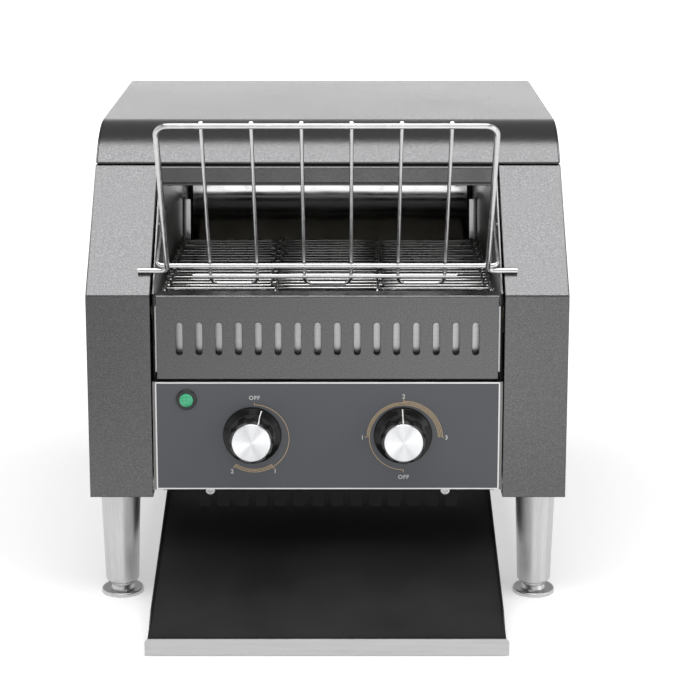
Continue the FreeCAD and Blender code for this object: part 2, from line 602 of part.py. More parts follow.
add("idler_shaft", cx(-144.0, 144.0, AX_F, AX_Z, 5.0))
add("idler_sprockets", [sprocket(AX_F, a, 16.8, 13.4, 4.0, SPR_TEETH, 5.0) for a in (-119.0, -50.5, 50.5, 119.0)])
add("drive_shaft", cx(-144.0, 150.0, AX_R, AX_Z, 5.0))
add("drive_sprockets", [sprocket(AX_R, a, 16.8, 13.4, 4.0, SPR_TEETH, 5.0) for a in (-119.0, -50.5, 50.5, 119.0)])

bush = []
for d in (AX_F, AX_R):
    for sx in (-1, 1):
        a0, a1 = sorted((sx * (WALL_X - 2.0), sx * (WALL_X + 4.0)))
        b0, b1 = sorted((sx * (WALL_X - 2.0), sx * (WALL_X)))
        bush.append(fuse([cx(a0, a1, d, AX_Z, 8.0), cx(b0, b1, d, AX_Z, 10.5)]).cut(cx(a0 - 1, a1 + 1, d, AX_Z, 5.06)))
add("shaft_bushes", bush)

# chain drive in the right housing
CH_X = 141.5
MD, MZ = 300.0, 168.0          # motor output
def gear(d, z, teeth, r_tip, r_root, x0, x1, bore):
    pts = []
    for k in range(teeth):
        for f, r in ((-0.36, r_root), (-0.13, r_tip), (0.13, r_tip), (0.36, r_root)):
            a = 2 * math.pi * (k + f) / teeth
            pts.append((d + r * math.sin(a), z + r * math.cos(a)))
    return poly_x(pts, x0, x1).cut(cx(x0 - 1, x1 + 1, d, z, bore))


R_BIG, R_SM = 20.2, 10.1        # pitch radii 2:1
add("driven_chain_sprocket", fuse([gear(AX_R, AX_Z, 20, R_BIG - 0.9, R_BIG - 3.4, CH_X - 1.0, CH_X + 1.0, 5.0),
                                   cx(CH_X + 1.0, CH_X + 7.0, AX_R, AX_Z, 9.0)]).cut(cx(100, 160, AX_R, AX_Z, 5.0)))
msp = fuse([gear(MD, MZ, 10, R_SM - 0.9, R_SM - 3.2, CH_X - 1.0, CH_X + 1.0, 3.0),
            cx(CH_X + 1.0, CH_X + 5.5, MD, MZ, 5.4)]).cut(cx(100, 160, MD, MZ, 3.0))
add("motor_sprocket", [msp, cx(CH_X - 2.5, 152.0, MD, MZ, 3.0)])


def chain():
    # open-belt loop round the two pitch circles, in the (depth, height) plane
    dx, dz = MD - AX_R, MZ - AX_Z
    L = math.hypot(dx, dz)
    base_a = math.atan2(dz, dx)
    al = math.acos((R_BIG - R_SM) / L)
    def loop(o):
        rb, rs = R_BIG + o, R_SM + o
        def pt(c, r, a):
            return V(CH_X - 1.9, y(c[0] + r * math.cos(a)), c[1] + r * math.sin(a))
        A, B = (AX_R, AX_Z), (MD, MZ)
        p1, p2 = pt(A, rb, base_a + al), pt(A, rb, base_a - al)
        q1, q2 = pt(B, rs, base_a + al), pt(B, rs, base_a - al)
        e = [Part.LineSegment(p1, q1).toShape(), Part.Arc(q1, pt(B, rs, base_a), q2).toShape(),
             Part.LineSegment(q2, p2).toShape(), Part.Arc(p2, pt(A, rb, base_a + math.pi), p1).toShape()]
        return Part.Face(Part.Wire(e)).extrude(V(3.8, 0, 0))
    return loop(1.9).cut(loop(0.4))


add("drive_chain", chain())
# gear motor on a bracket
gm = fuse([box(152.4, 168.0, MD - 26, MD + 34, MZ - 24, MZ + 24), cx(168.0, 181.0, MD + 4, MZ, 22.0),
           cx(147.4, 152.5, MD, MZ, 7.0)]).cut(cx(140, 156.0, MD, MZ, 3.1))
mb = fuse([box(149.6, 152.3, MD - 30, MD + 35, MZ - 28, MZ + 28), box(149.6, 152.3, MD - 30, MD + 35, bz1 + 2.0, MZ - 27),
           box(149.6, 166.0, MD - 30, MD + 35, bz1 + 0.05, bz1 + 2.0)]).cut(cx(140, 160, MD, MZ, 7.1))
add("gear_motor", [gm, mb])

# cooling fan in the left housing, blowing through the side slots
FD, FZ = 277.0, 138.0
fx0, fx1 = -HALF + T + 0.3, -HALF + T + 25.3
ff = box(fx0, fx1, FD - 40, FD + 40, FZ - 40, FZ + 40).cut([cx(fx0 - 1, fx1 + 1, FD, FZ, 37.5)])
ff = fuse([ff, cx(fx1 - 4.0, fx1, FD, FZ, 16.0)] + [box(fx1 - 3.0, fx1, FD - 38.5, FD - 15, FZ - 2, FZ + 2),
          box(fx1 - 3.0, fx1, FD + 15, FD + 38.5, FZ - 2, FZ + 2), box(fx1 - 3.0, fx1, FD - 2, FD + 2, FZ - 38.5, FZ - 15),
          box(fx1 - 3.0, fx1, FD - 2, FD + 2, FZ + 15, FZ + 38.5)])
ff = ff.cut([cx(fx0 - 1, fx1 + 1, FD + a, FZ + b, 2.2) for a in (-35.7, 35.7) for b in (-35.7, 35.7)])
add("fan_frame", ff)
blades = [cx(fx0 + 3.0, fx1 - 5.0, FD, FZ, 16.5)]
for k in range(7):
    b = Part.makeBox(1.4, 21.0, 12.0, V(-0.7, 0, -6.0))
    b.rotate(V(0, 0, 0), V(0, 1, 0), 38)
    b.translate(V(0, 15.0, 0))
    b.rotate(V(0, 0, 0), V(1, 0, 0), 360.0 / 7 * k)
    b.translate(V((fx0 + fx1) / 2 - 1.0, y(FD), FZ))
    blades.append(b)
rot = fuse(blades)
add("fan_rotor", rot)

# electrics
add("terminal_block", fuse([box(-178.0, -150.0, 116.0, 164.0, bz1 + 0.05, bz1 + 6.0)] +
                           [box(-175.0, -153.0, 118.0 + i * 15.5, 131.0 + i * 15.5, bz1 + 5.5, bz1 + 20.0) for i in range(3)]))
add("thermal_cutout", fuse([cx(WALL_X + TI, WALL_X + TI + 9.0, 266.0, 312.0, 8.0),
                            box(WALL_X + TI, WALL_X + TI + 1.2, 252.0, 280.0, 308.0, 316.0)]))
gl = fuse([cy(BODY_DEPTH, BODY_DEPTH + 5.0, GLX, GLZ, 11.5), cy(BODY_DEPTH - 12.0, BODY_DEPTH + 0.5, GLX, GLZ, 7.9),
           Part.makeCone(10.4, 7.0, 7.0, V(GLX, y(BODY_DEPTH + 5.0), GLZ), V(0, 1, 0))])
gl = gl.cut([cy(BODY_DEPTH + 3.0, BODY_DEPTH + 13.0, GLX, GLZ, 4.2)] +
            [box(-20, -10.6, BODY_DEPTH - 1, BODY_DEPTH + 5.01, -15, 15)] * 0)
hexa = [(GLX + 12.5 * math.cos(math.radians(60 * k)), GLZ + 12.5 * math.sin(math.radians(60 * k))) for k in range(6)]
nut = poly_y(hexa, BODY_DEPTH - T - 5.2, BODY_DEPTH - T - 0.1).cut(cy(300, 400, GLX, GLZ, 7.95))
add("cable_gland", [gl, nut])

# ================================================================ bread rack
RU = (24.6, 248.3)
RT = (-64.6, 387.4)
rl = math.hypot(RT[0] - RU[0], RT[1] - RU[1])
RA = ((RT[0] - RU[0]) / rl, (RT[1] - RU[1]) / rl)
RN = (RA[1], -RA[0])                 # to the back
R_FR, R_BAR, R_W = 2.15, 1.95, 1.4
pin = on_slope(261.4, R_FR + 0.35)
top = (RT[0], RT[1])
frame = rod([(-145.0, pin[0], pin[1]), (-122.4, pin[0], pin[1]), (-122.4, top[0], top[1]),
             (122.4, top[0], top[1]), (122.4, pin[0], pin[1]), (145.0, pin[0], pin[1])], R_FR, [5, 9, 9, 5])
bb = (12.4, 267.3)
hook = [(-130.2, 78.0, 298.2), (-130.2, bb[0], bb[1]), (130.2, bb[0], bb[1]), (130.2, 78.0, 298.2)]
bar = rod(hook, R_BAR, 5.0)
b2 = (RU[0] - (257.2 - RU[1]) / RA[1] * -RA[0] , 257.2)
bar2 = cx(-103.5, 99.5, b2[0] + RN[0] * 0.4, b2[1] + RN[1] * 0.4, 1.75)
off = R_FR + R_W - 0.35
us = []
for a in (-90.0, -18.0, 54.0):
    e = -1.6
    t0 = (top[0] + RN[0] * off + RA[0] * (R_FR + e), top[1] + RN[1] * off + RA[1] * (R_FR + e))
    u0 = (RU[0] + RN[0] * off, RU[1] + RN[1] * off)
    us.append(rod([(a, t0[0], t0[1]), (a, u0[0], u0[1]), (a + 36.0, u0[0], u0[1]), (a + 36.0, t0[0], t0[1])], R_W, 6.0))
rack = fuse([frame, bar, bar2] + us)
add("bread_rack", rack)
# ================================================================ exit tray
TZ = lambda d: 12.6 + (d + 96.0) * (62.6 - 12.6) / (96.0 + 96.0)     # tray top surface
tt = 1.0
tray = strip_x([(97.0, TZ(97.0) - tt / 2, 0), (-96.0, TZ(-96.0) - tt / 2, 3.0), (-100.9, 11.2, 1.2), (-101.5, 1.1, 0)], tt, -131.8, 131.8)
tfl = []
for sx in (-1, 1):
    a0, a1 = sorted((sx * 131.8, sx * 130.8))
    tfl.append(poly_x([(97.0, TZ(97.0) - 0.6), (97.0, TZ(97.0) + 5.0), (-74.0, TZ(-74) + 5.0), (-86.0, TZ(-86) + 1.4),
                       (-88.0, TZ(-88) - 0.6)], a0, a1))
tray = fuse([tray] + tfl)
add("exit_tray", tray)
add("tray_lip", poly_y([(-133.6, 0.6), (133.6, 0.6), (133.6, 11.2), (131.8, 13.4), (-131.8, 13.4), (-133.6, 11.2)], -102.9, -102.0))
# hanger rails for the tray under the side housings
hang = []
for sx in (-1, 1):
    a0, a1 = sorted((sx * 135.4, sx * 136.4))
    c0, c1 = sorted((sx * 136.0, sx * 150.0))
    e0, e1 = sorted((sx * 124.0, sx * 136.0))
    hang.append(fuse([box(a0, a1, 92.0, 114.0, 59.2, Z_BODY - 0.1),
                      box(c0, c1, 92.0, 114.0, Z_BODY - 1.1, Z_BODY - 0.1),
                      box(e0, e1, 92.0, 114.0, 59.2, 60.0)]))
add("tray_hangers", hang)

# crumb tray in the rear lower bay, drawn out to the rear
ct = box(-119.0, 119.0, 152.0, BODY_DEPTH - 0.5, 88.8, 100.8).cut(box(-118.2, 118.2, 152.8, BODY_DEPTH - 1.3, 89.6, 110.0))
ctf = box(-124.0, 124.0, BODY_DEPTH + 0.3, BODY_DEPTH + 1.5, 87.2, 105.0)
ct = fuse([ct, box(-119.0, 119.0, BODY_DEPTH - 1.0, BODY_DEPTH + 1.0, 88.8, 100.8), ctf,
           strip_x([(BODY_DEPTH + 0.9, 104.4, 0), (BODY_DEPTH + 9.5, 104.4, 2.0), (BODY_DEPTH + 9.5, 98.0, 0)], T, -40.0, 40.0)])
add("crumb_tray", ct)
# ================================================================ legs and feet
def leg(x, d):
    z1 = Z_BODY - 0.05
    c = Part.makeCone(13.0, 15.6, z1 - 9.0, V(x, y(d), 9.0), V(0, 0, 1))
    e = [q for q in c.Edges if q.Curve.TypeId == 'Part::GeomCircle' and abs(q.CenterOfMass.z - 9.0) < 1e-6]
    c = c.makeFillet(3.2, e)
    st_ = cz(z1 - 0.5, bz1 + 9.0, x, d, 4.0)
    s = fuse([c, st_]).cut(cz(8.0, 46.0, x, d, 8.08))
    return s


def foot(x, d):
    fl_ = cz(0.0, 3.2, x, d, 16.6)
    e = [q for q in fl_.Edges if q.Curve.TypeId == 'Part::GeomCircle' and abs(q.CenterOfMass.z - 3.2) < 1e-6]
    fl_ = fl_.makeFillet(1.2, e)
    neck = fuse([Part.makeCone(9.6, 8.6, 3.2, V(x, y(d), 3.1), V(0, 0, 1)), cz(6.0, 30.0, x, d, 8.0)])
    return fuse([fl_, neck])


for nm, x, d in (("front_left", -LEG_X, LEG_DF), ("front_right", LEG_X, LEG_DF), ("rear_left", -LEG_X, LEG_DR), ("rear_right", LEG_X, LEG_DR)):
    add(nm + "_foot", foot(x, d))
add("legs", [leg(sx * LEG_X, d) for sx in (-1, 1) for d in (LEG_DF, LEG_DR)])
nuts = []
for sx in (-1, 1):
    for d in (LEG_DF, LEG_DR):
        x = sx * LEG_X
        hp = [(x + 7.4 * math.cos(math.radians(60 * k)), d + 7.4 * math.sin(math.radians(60 * k))) for k in range(6)]
        nuts.append(poly_z(hp, bz1 + 0.02, bz1 + 6.5).cut(cz(80, 110, x, d, 4.02)))
add("leg_nuts", nuts)

# ================================================================ fasteners
sp = []
for sx in (-1, 1):
    for d, zz in ((60.0, 100.0), (200.0, 100.0), (340.0, 100.0), (345.0, 322.0), (120.0, 322.0), (232.0, 322.0)):
        sp.append(screw_x(d, zz, sx * HALF, sx, h=0.9, shank=T))
rf = []
for sx in (-1, 1):
    for d in (150.0, 330.0):
        rf.append(screw_x(d, 346.0, sx * HALF, sx, h=0.9, shank=5.0))
for x in (-120.0, 0.0, 120.0):
    rf.append(screw_y(x, 346.0, BODY_DEPTH, toward=1, shank=5.0))
rp = []
for x in (-177.0, 177.0):
    for zz in (104.0, 215.0, 322.0):
        rp.append(screw_y(x, zz, BODY_DEPTH, toward=1, shank=6.0))
add("panel_screws", sp + rp + rf + comb_screws)
# clear the sheets where screw shanks pass
for nm, scr in (("left_side_panel", sp + rp), ("right_side_panel", sp + rp), ("roof_cover", rf), ("rear_panel", rp + rf)):
    s = parts[nm]
    c = [q for q in scr if q.BoundBox.intersect(s.BoundBox)]
    if c:
        parts[nm] = s.cut(c)
    if len(parts[nm].Solids) == 1:
        parts[nm] = parts[nm].Solids[0]

# ---------------------------------------------------------------- export
tot = None
for n in sorted(parts):
    s = parts[n]
    s.exportStep("parts/%s.step" % n)
    b = s.BoundBox
    if tot is None:
        tot = FreeCAD.BoundBox(b)
    else:
        tot.add(b)
print(len(parts), "nodes; box X %.2f..%.2f Y %.2f..%.2f Z %.2f..%.2f" % (tot.XMin, tot.XMax, tot.YMin, tot.YMax, tot.ZMin, tot.ZMax))
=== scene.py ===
import bpy, math, json, random
from mathutils import Vector, Matrix


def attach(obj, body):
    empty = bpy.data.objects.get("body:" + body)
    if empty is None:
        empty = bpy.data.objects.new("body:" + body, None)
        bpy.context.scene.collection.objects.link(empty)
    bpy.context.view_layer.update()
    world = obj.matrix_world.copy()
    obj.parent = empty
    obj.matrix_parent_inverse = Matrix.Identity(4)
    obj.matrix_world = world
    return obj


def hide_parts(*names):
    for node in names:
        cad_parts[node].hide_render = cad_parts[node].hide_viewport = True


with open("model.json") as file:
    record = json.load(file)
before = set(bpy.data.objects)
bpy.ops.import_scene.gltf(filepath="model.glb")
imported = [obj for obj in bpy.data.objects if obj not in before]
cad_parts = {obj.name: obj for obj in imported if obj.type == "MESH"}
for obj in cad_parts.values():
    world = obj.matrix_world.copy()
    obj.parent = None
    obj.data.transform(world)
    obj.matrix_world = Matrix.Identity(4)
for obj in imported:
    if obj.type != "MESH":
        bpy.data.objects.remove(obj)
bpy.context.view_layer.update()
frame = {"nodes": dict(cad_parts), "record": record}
NODES = frame["nodes"]
scene = bpy.context.scene
YF = -142.05                      # y of the front face, mm


def P(x, d, z):
    # mm: x, depth behind the front face, height -> metres in the frame
    return Vector((x / 1000.0, (d + YF) / 1000.0, z / 1000.0))


# ------------------------------------------------------------------ camera
cam = bpy.data.cameras.new("view_camera")
cam.sensor_fit = "HORIZONTAL"
cam.sensor_width = 36.0
cam.lens = 2007.0 * 36.0 / 700.0
cam.shift_x = (350.0 - 343.0) / 700.0
cam.shift_y = (209.0 - 350.0) / 700.0
cam.clip_start, cam.clip_end = 0.01, 100.0
co = bpy.data.objects.new("view_camera", cam)
scene.collection.objects.link(co)
co.location = (0.01183, (YF - 1480.1) / 1000.0, 0.61505)
co.rotation_euler = (math.radians(90.0 - 11.5), 0.0, 0.0)
scene.camera = co

# ------------------------------------------------------------------ light
scene.view_settings.view_transform = "Standard"
scene.view_settings.look = "None"
scene.view_settings.exposure = 0.0
scene.view_settings.gamma = 1.0

world = bpy.data.worlds.new("studio")
scene.world = world
world.use_nodes = True
wt = world.node_tree
wt.nodes.clear()
w_out = wt.nodes.new("ShaderNodeOutputWorld")
w_bg = wt.nodes.new("ShaderNodeBackground")
w_tc = wt.nodes.new("ShaderNodeTexCoord")
w_sep = wt.nodes.new("ShaderNodeSeparateXYZ")
w_map = wt.nodes.new("ShaderNodeMapRange")
w_map.inputs["From Min"].default_value = -1.0
w_map.inputs["From Max"].default_value = 1.0
w_ramp = wt.nodes.new("ShaderNodeValToRGB")
w_ramp.color_ramp.interpolation = "EASE"
stops = [(0.0, 1.0), (0.5, 1.0), (0.535, 1.38), (0.592, 1.38), (0.622, 0.34), (0.80, 0.24), (1.0, 0.24)]
el = w_ramp.color_ramp.elements
el[0].position, el[0].color = stops[0][0], (stops[0][1],) * 3 + (1,)
el[1].position, el[1].color = stops[-1][0], (stops[-1][1],) * 3 + (1,)
for p, v in stops[1:-1]:
    e = el.new(p)
    e.color = (v, v, v, 1)
wt.links.new(w_tc.outputs["Generated"], w_sep.inputs[0])
wt.links.new(w_sep.outputs["Z"], w_map.inputs["Value"])
wt.links.new(w_map.outputs[0], w_ramp.inputs[0])
# the studio walls to both sides are paler than the ones ahead and behind
w_abs = wt.nodes.new("ShaderNodeMath")
w_abs.operation = "ABSOLUTE"
w_side = wt.nodes.new("ShaderNodeMapRange")
w_side.interpolation_type = "SMOOTHSTEP"
w_side.inputs["From Min"].default_value = 0.50
w_side.inputs["From Max"].default_value = 0.85
w_mix = wt.nodes.new("ShaderNodeMix")
w_mix.data_type = "RGBA"
w_mix.inputs[7].default_value = (0.95, 0.95, 0.95, 1)
wt.links.new(w_sep.outputs["X"], w_abs.inputs[0])
wt.links.new(w_abs.outputs[0], w_side.inputs["Value"])
wt.links.new(w_side.outputs[0], w_mix.inputs[0])
wt.links.new(w_ramp.outputs[0], w_mix.inputs[6])
wt.links.new(w_mix.outputs[2], w_bg.inputs["Color"])
w_bg.inputs["Strength"].default_value = 1.0
wt.links.new(w_bg.outputs[0], w_out.inputs[0])


def area(name, loc, target, sx, sy, radiance):
    li = bpy.data.lights.new(name, "AREA")
    li.shape = "RECTANGLE"
    li.size, li.size_y = sx, sy
    li.energy = radiance * math.pi * sx * sy
    ob = bpy.data.objects.new(name, li)
    scene.collection.objects.link(ob)
    ob.location = loc
    ob.rotation_euler = (Vector(target) - Vector(loc)).to_track_quat("-Z", "Y").to_euler()
    ob.visible_camera = False
    return ob


area("softbox_over", (0.0, -0.42, 1.85), (0.0, -0.42, 0.0), 1.7, 1.44, 4.3)
area("softbox_front", (-0.05, -2.35, 1.75), (0.0, -0.15, 0.15), 0.75, 0.5, 2.2)
area("fill_right", (2.1, -1.2, 0.9), (0.0, -0.1, 0.2), 1.2, 1.2, 1.6)

# floor
fm = bpy.data.materials.new("pale_floor")
fm.use_nodes = True
ft = fm.node_tree
fb = ft.nodes["Principled BSDF"]
fn = ft.nodes.new("ShaderNodeTexNoise")
fn.inputs["Scale"].default_value = 3.0
fr = ft.nodes.new("ShaderNodeValToRGB")
fr.color_ramp.elements[0].color = (0.70, 0.70, 0.70, 1)
fr.color_ramp.elements[1].color = (0.74, 0.74, 0.74, 1)
ftc = ft.nodes.new("ShaderNodeTexCoord")
ft.links.new(ftc.outputs["Object"], fn.inputs["Vector"])
ft.links.new(fn.outputs["Fac"], fr.inputs[0])
ft.links.new(fr.outputs[0], fb.inputs["Base Color"])
fb.inputs["Roughness"].default_value = 0.9
fb.inputs["Specular IOR Level"].default_value = 0.1
# the floor brightens to white with distance behind the object
fsep = ft.nodes.new("ShaderNodeSeparateXYZ")
fmap = ft.nodes.new("ShaderNodeMapRange")
fmap.inputs["From Min"].default_value = -1.0
fmap.inputs["From Max"].default_value = 5.0
fe = ft.nodes.new("ShaderNodeValToRGB")
fe.color_ramp.interpolation = "EASE"
fstops = [(0.0, 0.50), (0.07, 0.42), (0.13, 0.36), (0.20, 0.36), (0.27, 0.52), (0.38, 0.75), (0.62, 1.0), (1.0, 1.05)]
q = fe.color_ramp.elements
q[0].position, q[0].color = fstops[0][0], (fstops[0][1],) * 3 + (1,)
q[1].position, q[1].color = fstops[-1][0], (fstops[-1][1],) * 3 + (1,)
for p_, v_ in fstops[1:-1]:
    q.new(p_).color = (v_, v_, v_, 1)
ft.links.new(ftc.outputs["Object"], fsep.inputs[0])
ft.links.new(fsep.outputs["Y"], fmap.inputs["Value"])
ft.links.new(fmap.outputs[0], fe.inputs[0])
# painted light and shade on the floor ahead of the object: its glow is raised towards the right and lowered towards
# the left
fxm = ft.nodes.new("ShaderNodeMapRange")
fxm.inputs["From Min"].default_value = -0.35
fxm.inputs["From Max"].default_value = 0.35
fxr = ft.nodes.new("ShaderNodeValToRGB")
fxr.color_ramp.interpolation = "EASE"
xstops = [(0.0, 0.02), (0.17, 0.10), (0.27, 0.32), (0.50, 0.50), (0.74, 0.74), (0.84, 0.60), (1.0, 0.56)]
q = fxr.color_ramp.elements
q[0].position, q[0].color = xstops[0][0], (xstops[0][1],) * 3 + (1,)
q[1].position, q[1].color = xstops[-1][0], (xstops[-1][1],) * 3 + (1,)
for p_, v_ in xstops[1:-1]:
    q.new(p_).color = (v_, v_, v_, 1)
fx = ft.nodes.new("ShaderNodeMath")
fx.operation = "SUBTRACT"
fx.inputs[1].default_value = 0.40
fy = ft.nodes.new("ShaderNodeMapRange")
fy.interpolation_type = "SMOOTHSTEP"
fy.inputs["From Min"].default_value = -0.42
fy.inputs["From Max"].default_value = -0.70
fm1 = ft.nodes.new("ShaderNodeMath")
fm1.operation = "MULTIPLY"
fm2 = ft.nodes.new("ShaderNodeMix")
fm2.data_type = "RGBA"
fm2.blend_type = "ADD"
fm2.inputs[0].default_value = 1.0
ft.links.new(fsep.outputs["X"], fxm.inputs["Value"])
ft.links.new(fxm.outputs[0], fxr.inputs[0])
ft.links.new(fxr.outputs[0], fx.inputs[0])
ft.links.new(fsep.outputs["Y"], fy.inputs["Value"])
ft.links.new(fx.outputs[0], fm1.inputs[0])
ft.links.new(fy.outputs[0], fm1.inputs[1])
ft.links.new(fe.outputs[0], fm2.inputs[6])
ft.links.new(fm1.outputs[0], fm2.inputs[7])
ft.links.new(fm2.outputs[2], fb.inputs["Emission Color"])
fb.inputs["Emission Strength"].default_value = 1.0
fme = bpy.data.meshes.new("floor")
S = 12.0
fme.from_pydata([(-S, -S, 0), (S, -S, 0), (S, S, 0), (-S, S, 0)], [], [(0, 1, 2, 3)])
fo = bpy.data.objects.new("floor", fme)
scene.collection.objects.link(fo)
fme.materials.append(fm)


# ------------------------------------------------------------------ materials
class Mat:
    def __init__(self, name):
        self.m = bpy.data.materials.new(name)
        self.m.use_nodes = True
        self.t = self.m.node_tree
        self.t.nodes.clear()
        self.out = self.t.nodes.new("ShaderNodeOutputMaterial")
        self.b = self.t.nodes.new("ShaderNodeBsdfPrincipled")
        self.t.links.new(self.b.outputs[0], self.out.inputs[0])
        self.tc = self.t.nodes.new("ShaderNodeTexCoord")
        self.normal = None

    def set(self, **kw):
        for k, v in kw.items():
            self.b.inputs[k.replace("_", " ")].default_value = v
        return self

    def put(self, socket, out):
        self.t.links.new(out, self.b.inputs[socket])
        return self

    def coords(self, scale=(1, 1, 1), rot=(0, 0, 0), loc=(0, 0, 0)):
        n = self.t.nodes.new("ShaderNodeMapping")
        n.inputs["Scale"].default_value = scale
        n.inputs["Rotation"].default_value = rot
        n.inputs["Location"].default_value = loc
        self.t.links.new(self.tc.outputs["Object"], n.inputs["Vector"])
        return n.outputs[0]

    def noise(self, scale, detail=2.0, rough=0.5, stretch=(1, 1, 1), distort=0.0, loc=(0, 0, 0)):
        n = self.t.nodes.new("ShaderNodeTexNoise")
        n.inputs["Scale"].default_value = scale
        n.inputs["Detail"].default_value = detail
        n.inputs["Roughness"].default_value = rough
        n.inputs["Distortion"].default_value = distort
        self.t.links.new(self.coords(stretch, loc=loc), n.inputs["Vector"])
        return n.outputs["Fac"]

    def voronoi(self, scale, smooth=0.3, stretch=(1, 1, 1)):
        n = self.t.nodes.new("ShaderNodeTexVoronoi")
        n.feature = "SMOOTH_F1"
        n.inputs["Scale"].default_value = scale
        n.inputs["Smoothness"].default_value = smooth
        self.t.links.new(self.coords(stretch), n.inputs["Vector"])
        return n.outputs["Distance"]

    def ramp(self, fac, *stops):
        n = self.t.nodes.new("ShaderNodeValToRGB")
        e = n.color_ramp.elements
        stops = [(p, (c,) * 3 if isinstance(c, (int, float)) else c) for p, c in stops]
        e[0].position, e[0].color = stops[0][0], (*stops[0][1], 1)
        e[1].position, e[1].color = stops[-1][0], (*stops[-1][1], 1)
        for p, c in stops[1:-1]:
            q = e.new(p)
            q.color = (*c, 1)
        self.t.links.new(fac, n.inputs[0])
        return n.outputs[0]

    def range(self, fac, lo, hi, a=0.3, b=0.7):
        n = self.t.nodes.new("ShaderNodeMapRange")
        n.inputs["From Min"].default_value = a
        n.inputs["From Max"].default_value = b
        n.inputs["To Min"].default_value = lo
        n.inputs["To Max"].default_value = hi
        self.t.links.new(fac, n.inputs["Value"])
        return n.outputs[0]

    def math(self, op, a, b):
        n = self.t.nodes.new("ShaderNodeMath")
        n.operation = op
        for i, v in enumerate((a, b)):
            if isinstance(v, (int, float)):
                n.inputs[i].default_value = v
            else:
                self.t.links.new(v, n.inputs[i])
        return n.outputs[0]

    def mixc(self, fac, a, b, mode="MIX"):
        n = self.t.nodes.new("ShaderNodeMix")
        n.data_type = "RGBA"
        n.blend_type = mode
        fi = n.inputs[0]
        ai, bi = n.inputs[6], n.inputs[7]
        for s, v in ((fi, fac), (ai, a), (bi, b)):
            if isinstance(v, (int, float)):
                s.default_value = v
            elif isinstance(v, tuple):
                s.default_value = (*v, 1)
            else:
                self.t.links.new(v, s)
        return n.outputs[2]

    def edge(self, radius):
        n = self.t.nodes.new("ShaderNodeBevel")
        n.samples = 4
        n.inputs["Radius"].default_value = radius
        self.normal = n.outputs[0]
        return self

    def painted_edge_shade(self, radius):
        # 1 along the folded and cut edges, 0 on the open sheet; the mask for painted edge shade
        b = self.t.nodes.new("ShaderNodeBevel")
        b.samples = 4
        b.inputs["Radius"].default_value = radius
        g = self.t.nodes.new("ShaderNodeNewGeometry")
        d = self.t.nodes.new("ShaderNodeVectorMath")
        d.operation = "DOT_PRODUCT"
        self.t.links.new(b.outputs[0], d.inputs[0])
        self.t.links.new(g.outputs["True Normal"], d.inputs[1])
        return self.range(d.outputs["Value"], 0.9, 0.0, 0.90, 0.985)

    def bump(self, height, distance, strength=1.0):
        n = self.t.nodes.new("ShaderNodeBump")
        n.inputs["Strength"].default_value = strength
        n.inputs["Distance"].default_value = distance
        self.t.links.new(height, n.inputs["Height"])
        if self.normal is not None:
            self.t.links.new(self.normal, n.inputs["Normal"])
        self.normal = n.outputs[0]
        return self

    def done(self):
        if self.normal is not None:
            self.t.links.new(self.normal, self.b.inputs["Normal"])
        return self.m


def grey(v):
    return (v, v, v)


# charcoal hammer enamel: fine grain, a little metallic, with painted shade along the edges
def paint():
    m = Mat("charcoal_enamel")
    g = m.noise(980.0, 3.0, 0.6)
    s = m.noise(560.0, 2.0, 0.5)
    w = m.noise(9.0, 2.0, 0.5)
    c = m.ramp(g, (0.30, (0.080, 0.080, 0.082)), (0.55, (0.112, 0.112, 0.114)), (0.72, (0.158, 0.158, 0.160)))
    # the folded and cut edges are painted near-black: painted shade standing for the dark line of the rounded edges
    m.put("Base Color", m.mixc(m.painted_edge_shade(0.0009), c, grey(0.018)))
    m.set(Metallic=0.86)
    m.put("Roughness", m.range(m.math("ADD", m.math("MULTIPLY", s, 0.6), m.math("MULTIPLY", w, 0.4)), 0.15, 0.21))
    m.edge(0.0009)
    m.bump(w, 0.0012, 0.06)
    m.bump(s, 0.00008, 0.26)
    m.bump(g, 0.00008, 1.0)
    return m.done()


def satin_black():
    m = Mat("satin_black_enamel")
    g = m.noise(900.0, 2.0, 0.5)
    w = m.noise(14.0, 3.0, 0.55)
    dust = m.noise(1500.0, 2.0, 0.6, loc=(3, 1, 2))
    c = m.ramp(w, (0.3, grey(0.0085)), (0.7, grey(0.0120)))
    c = m.mixc(m.ramp(dust, (0.76, grey(0.0)), (0.82, grey(0.45))), c, grey(0.09))
    m.put("Base Color", c)
    m.put("Roughness", m.range(w, 0.34, 0.44))
    m.set(Specular_IOR_Level=0.36)
    m.edge(0.0005)
    m.bump(w, 0.0010, 0.2)
    m.bump(g, 0.00006, 0.4)
    return m.done()


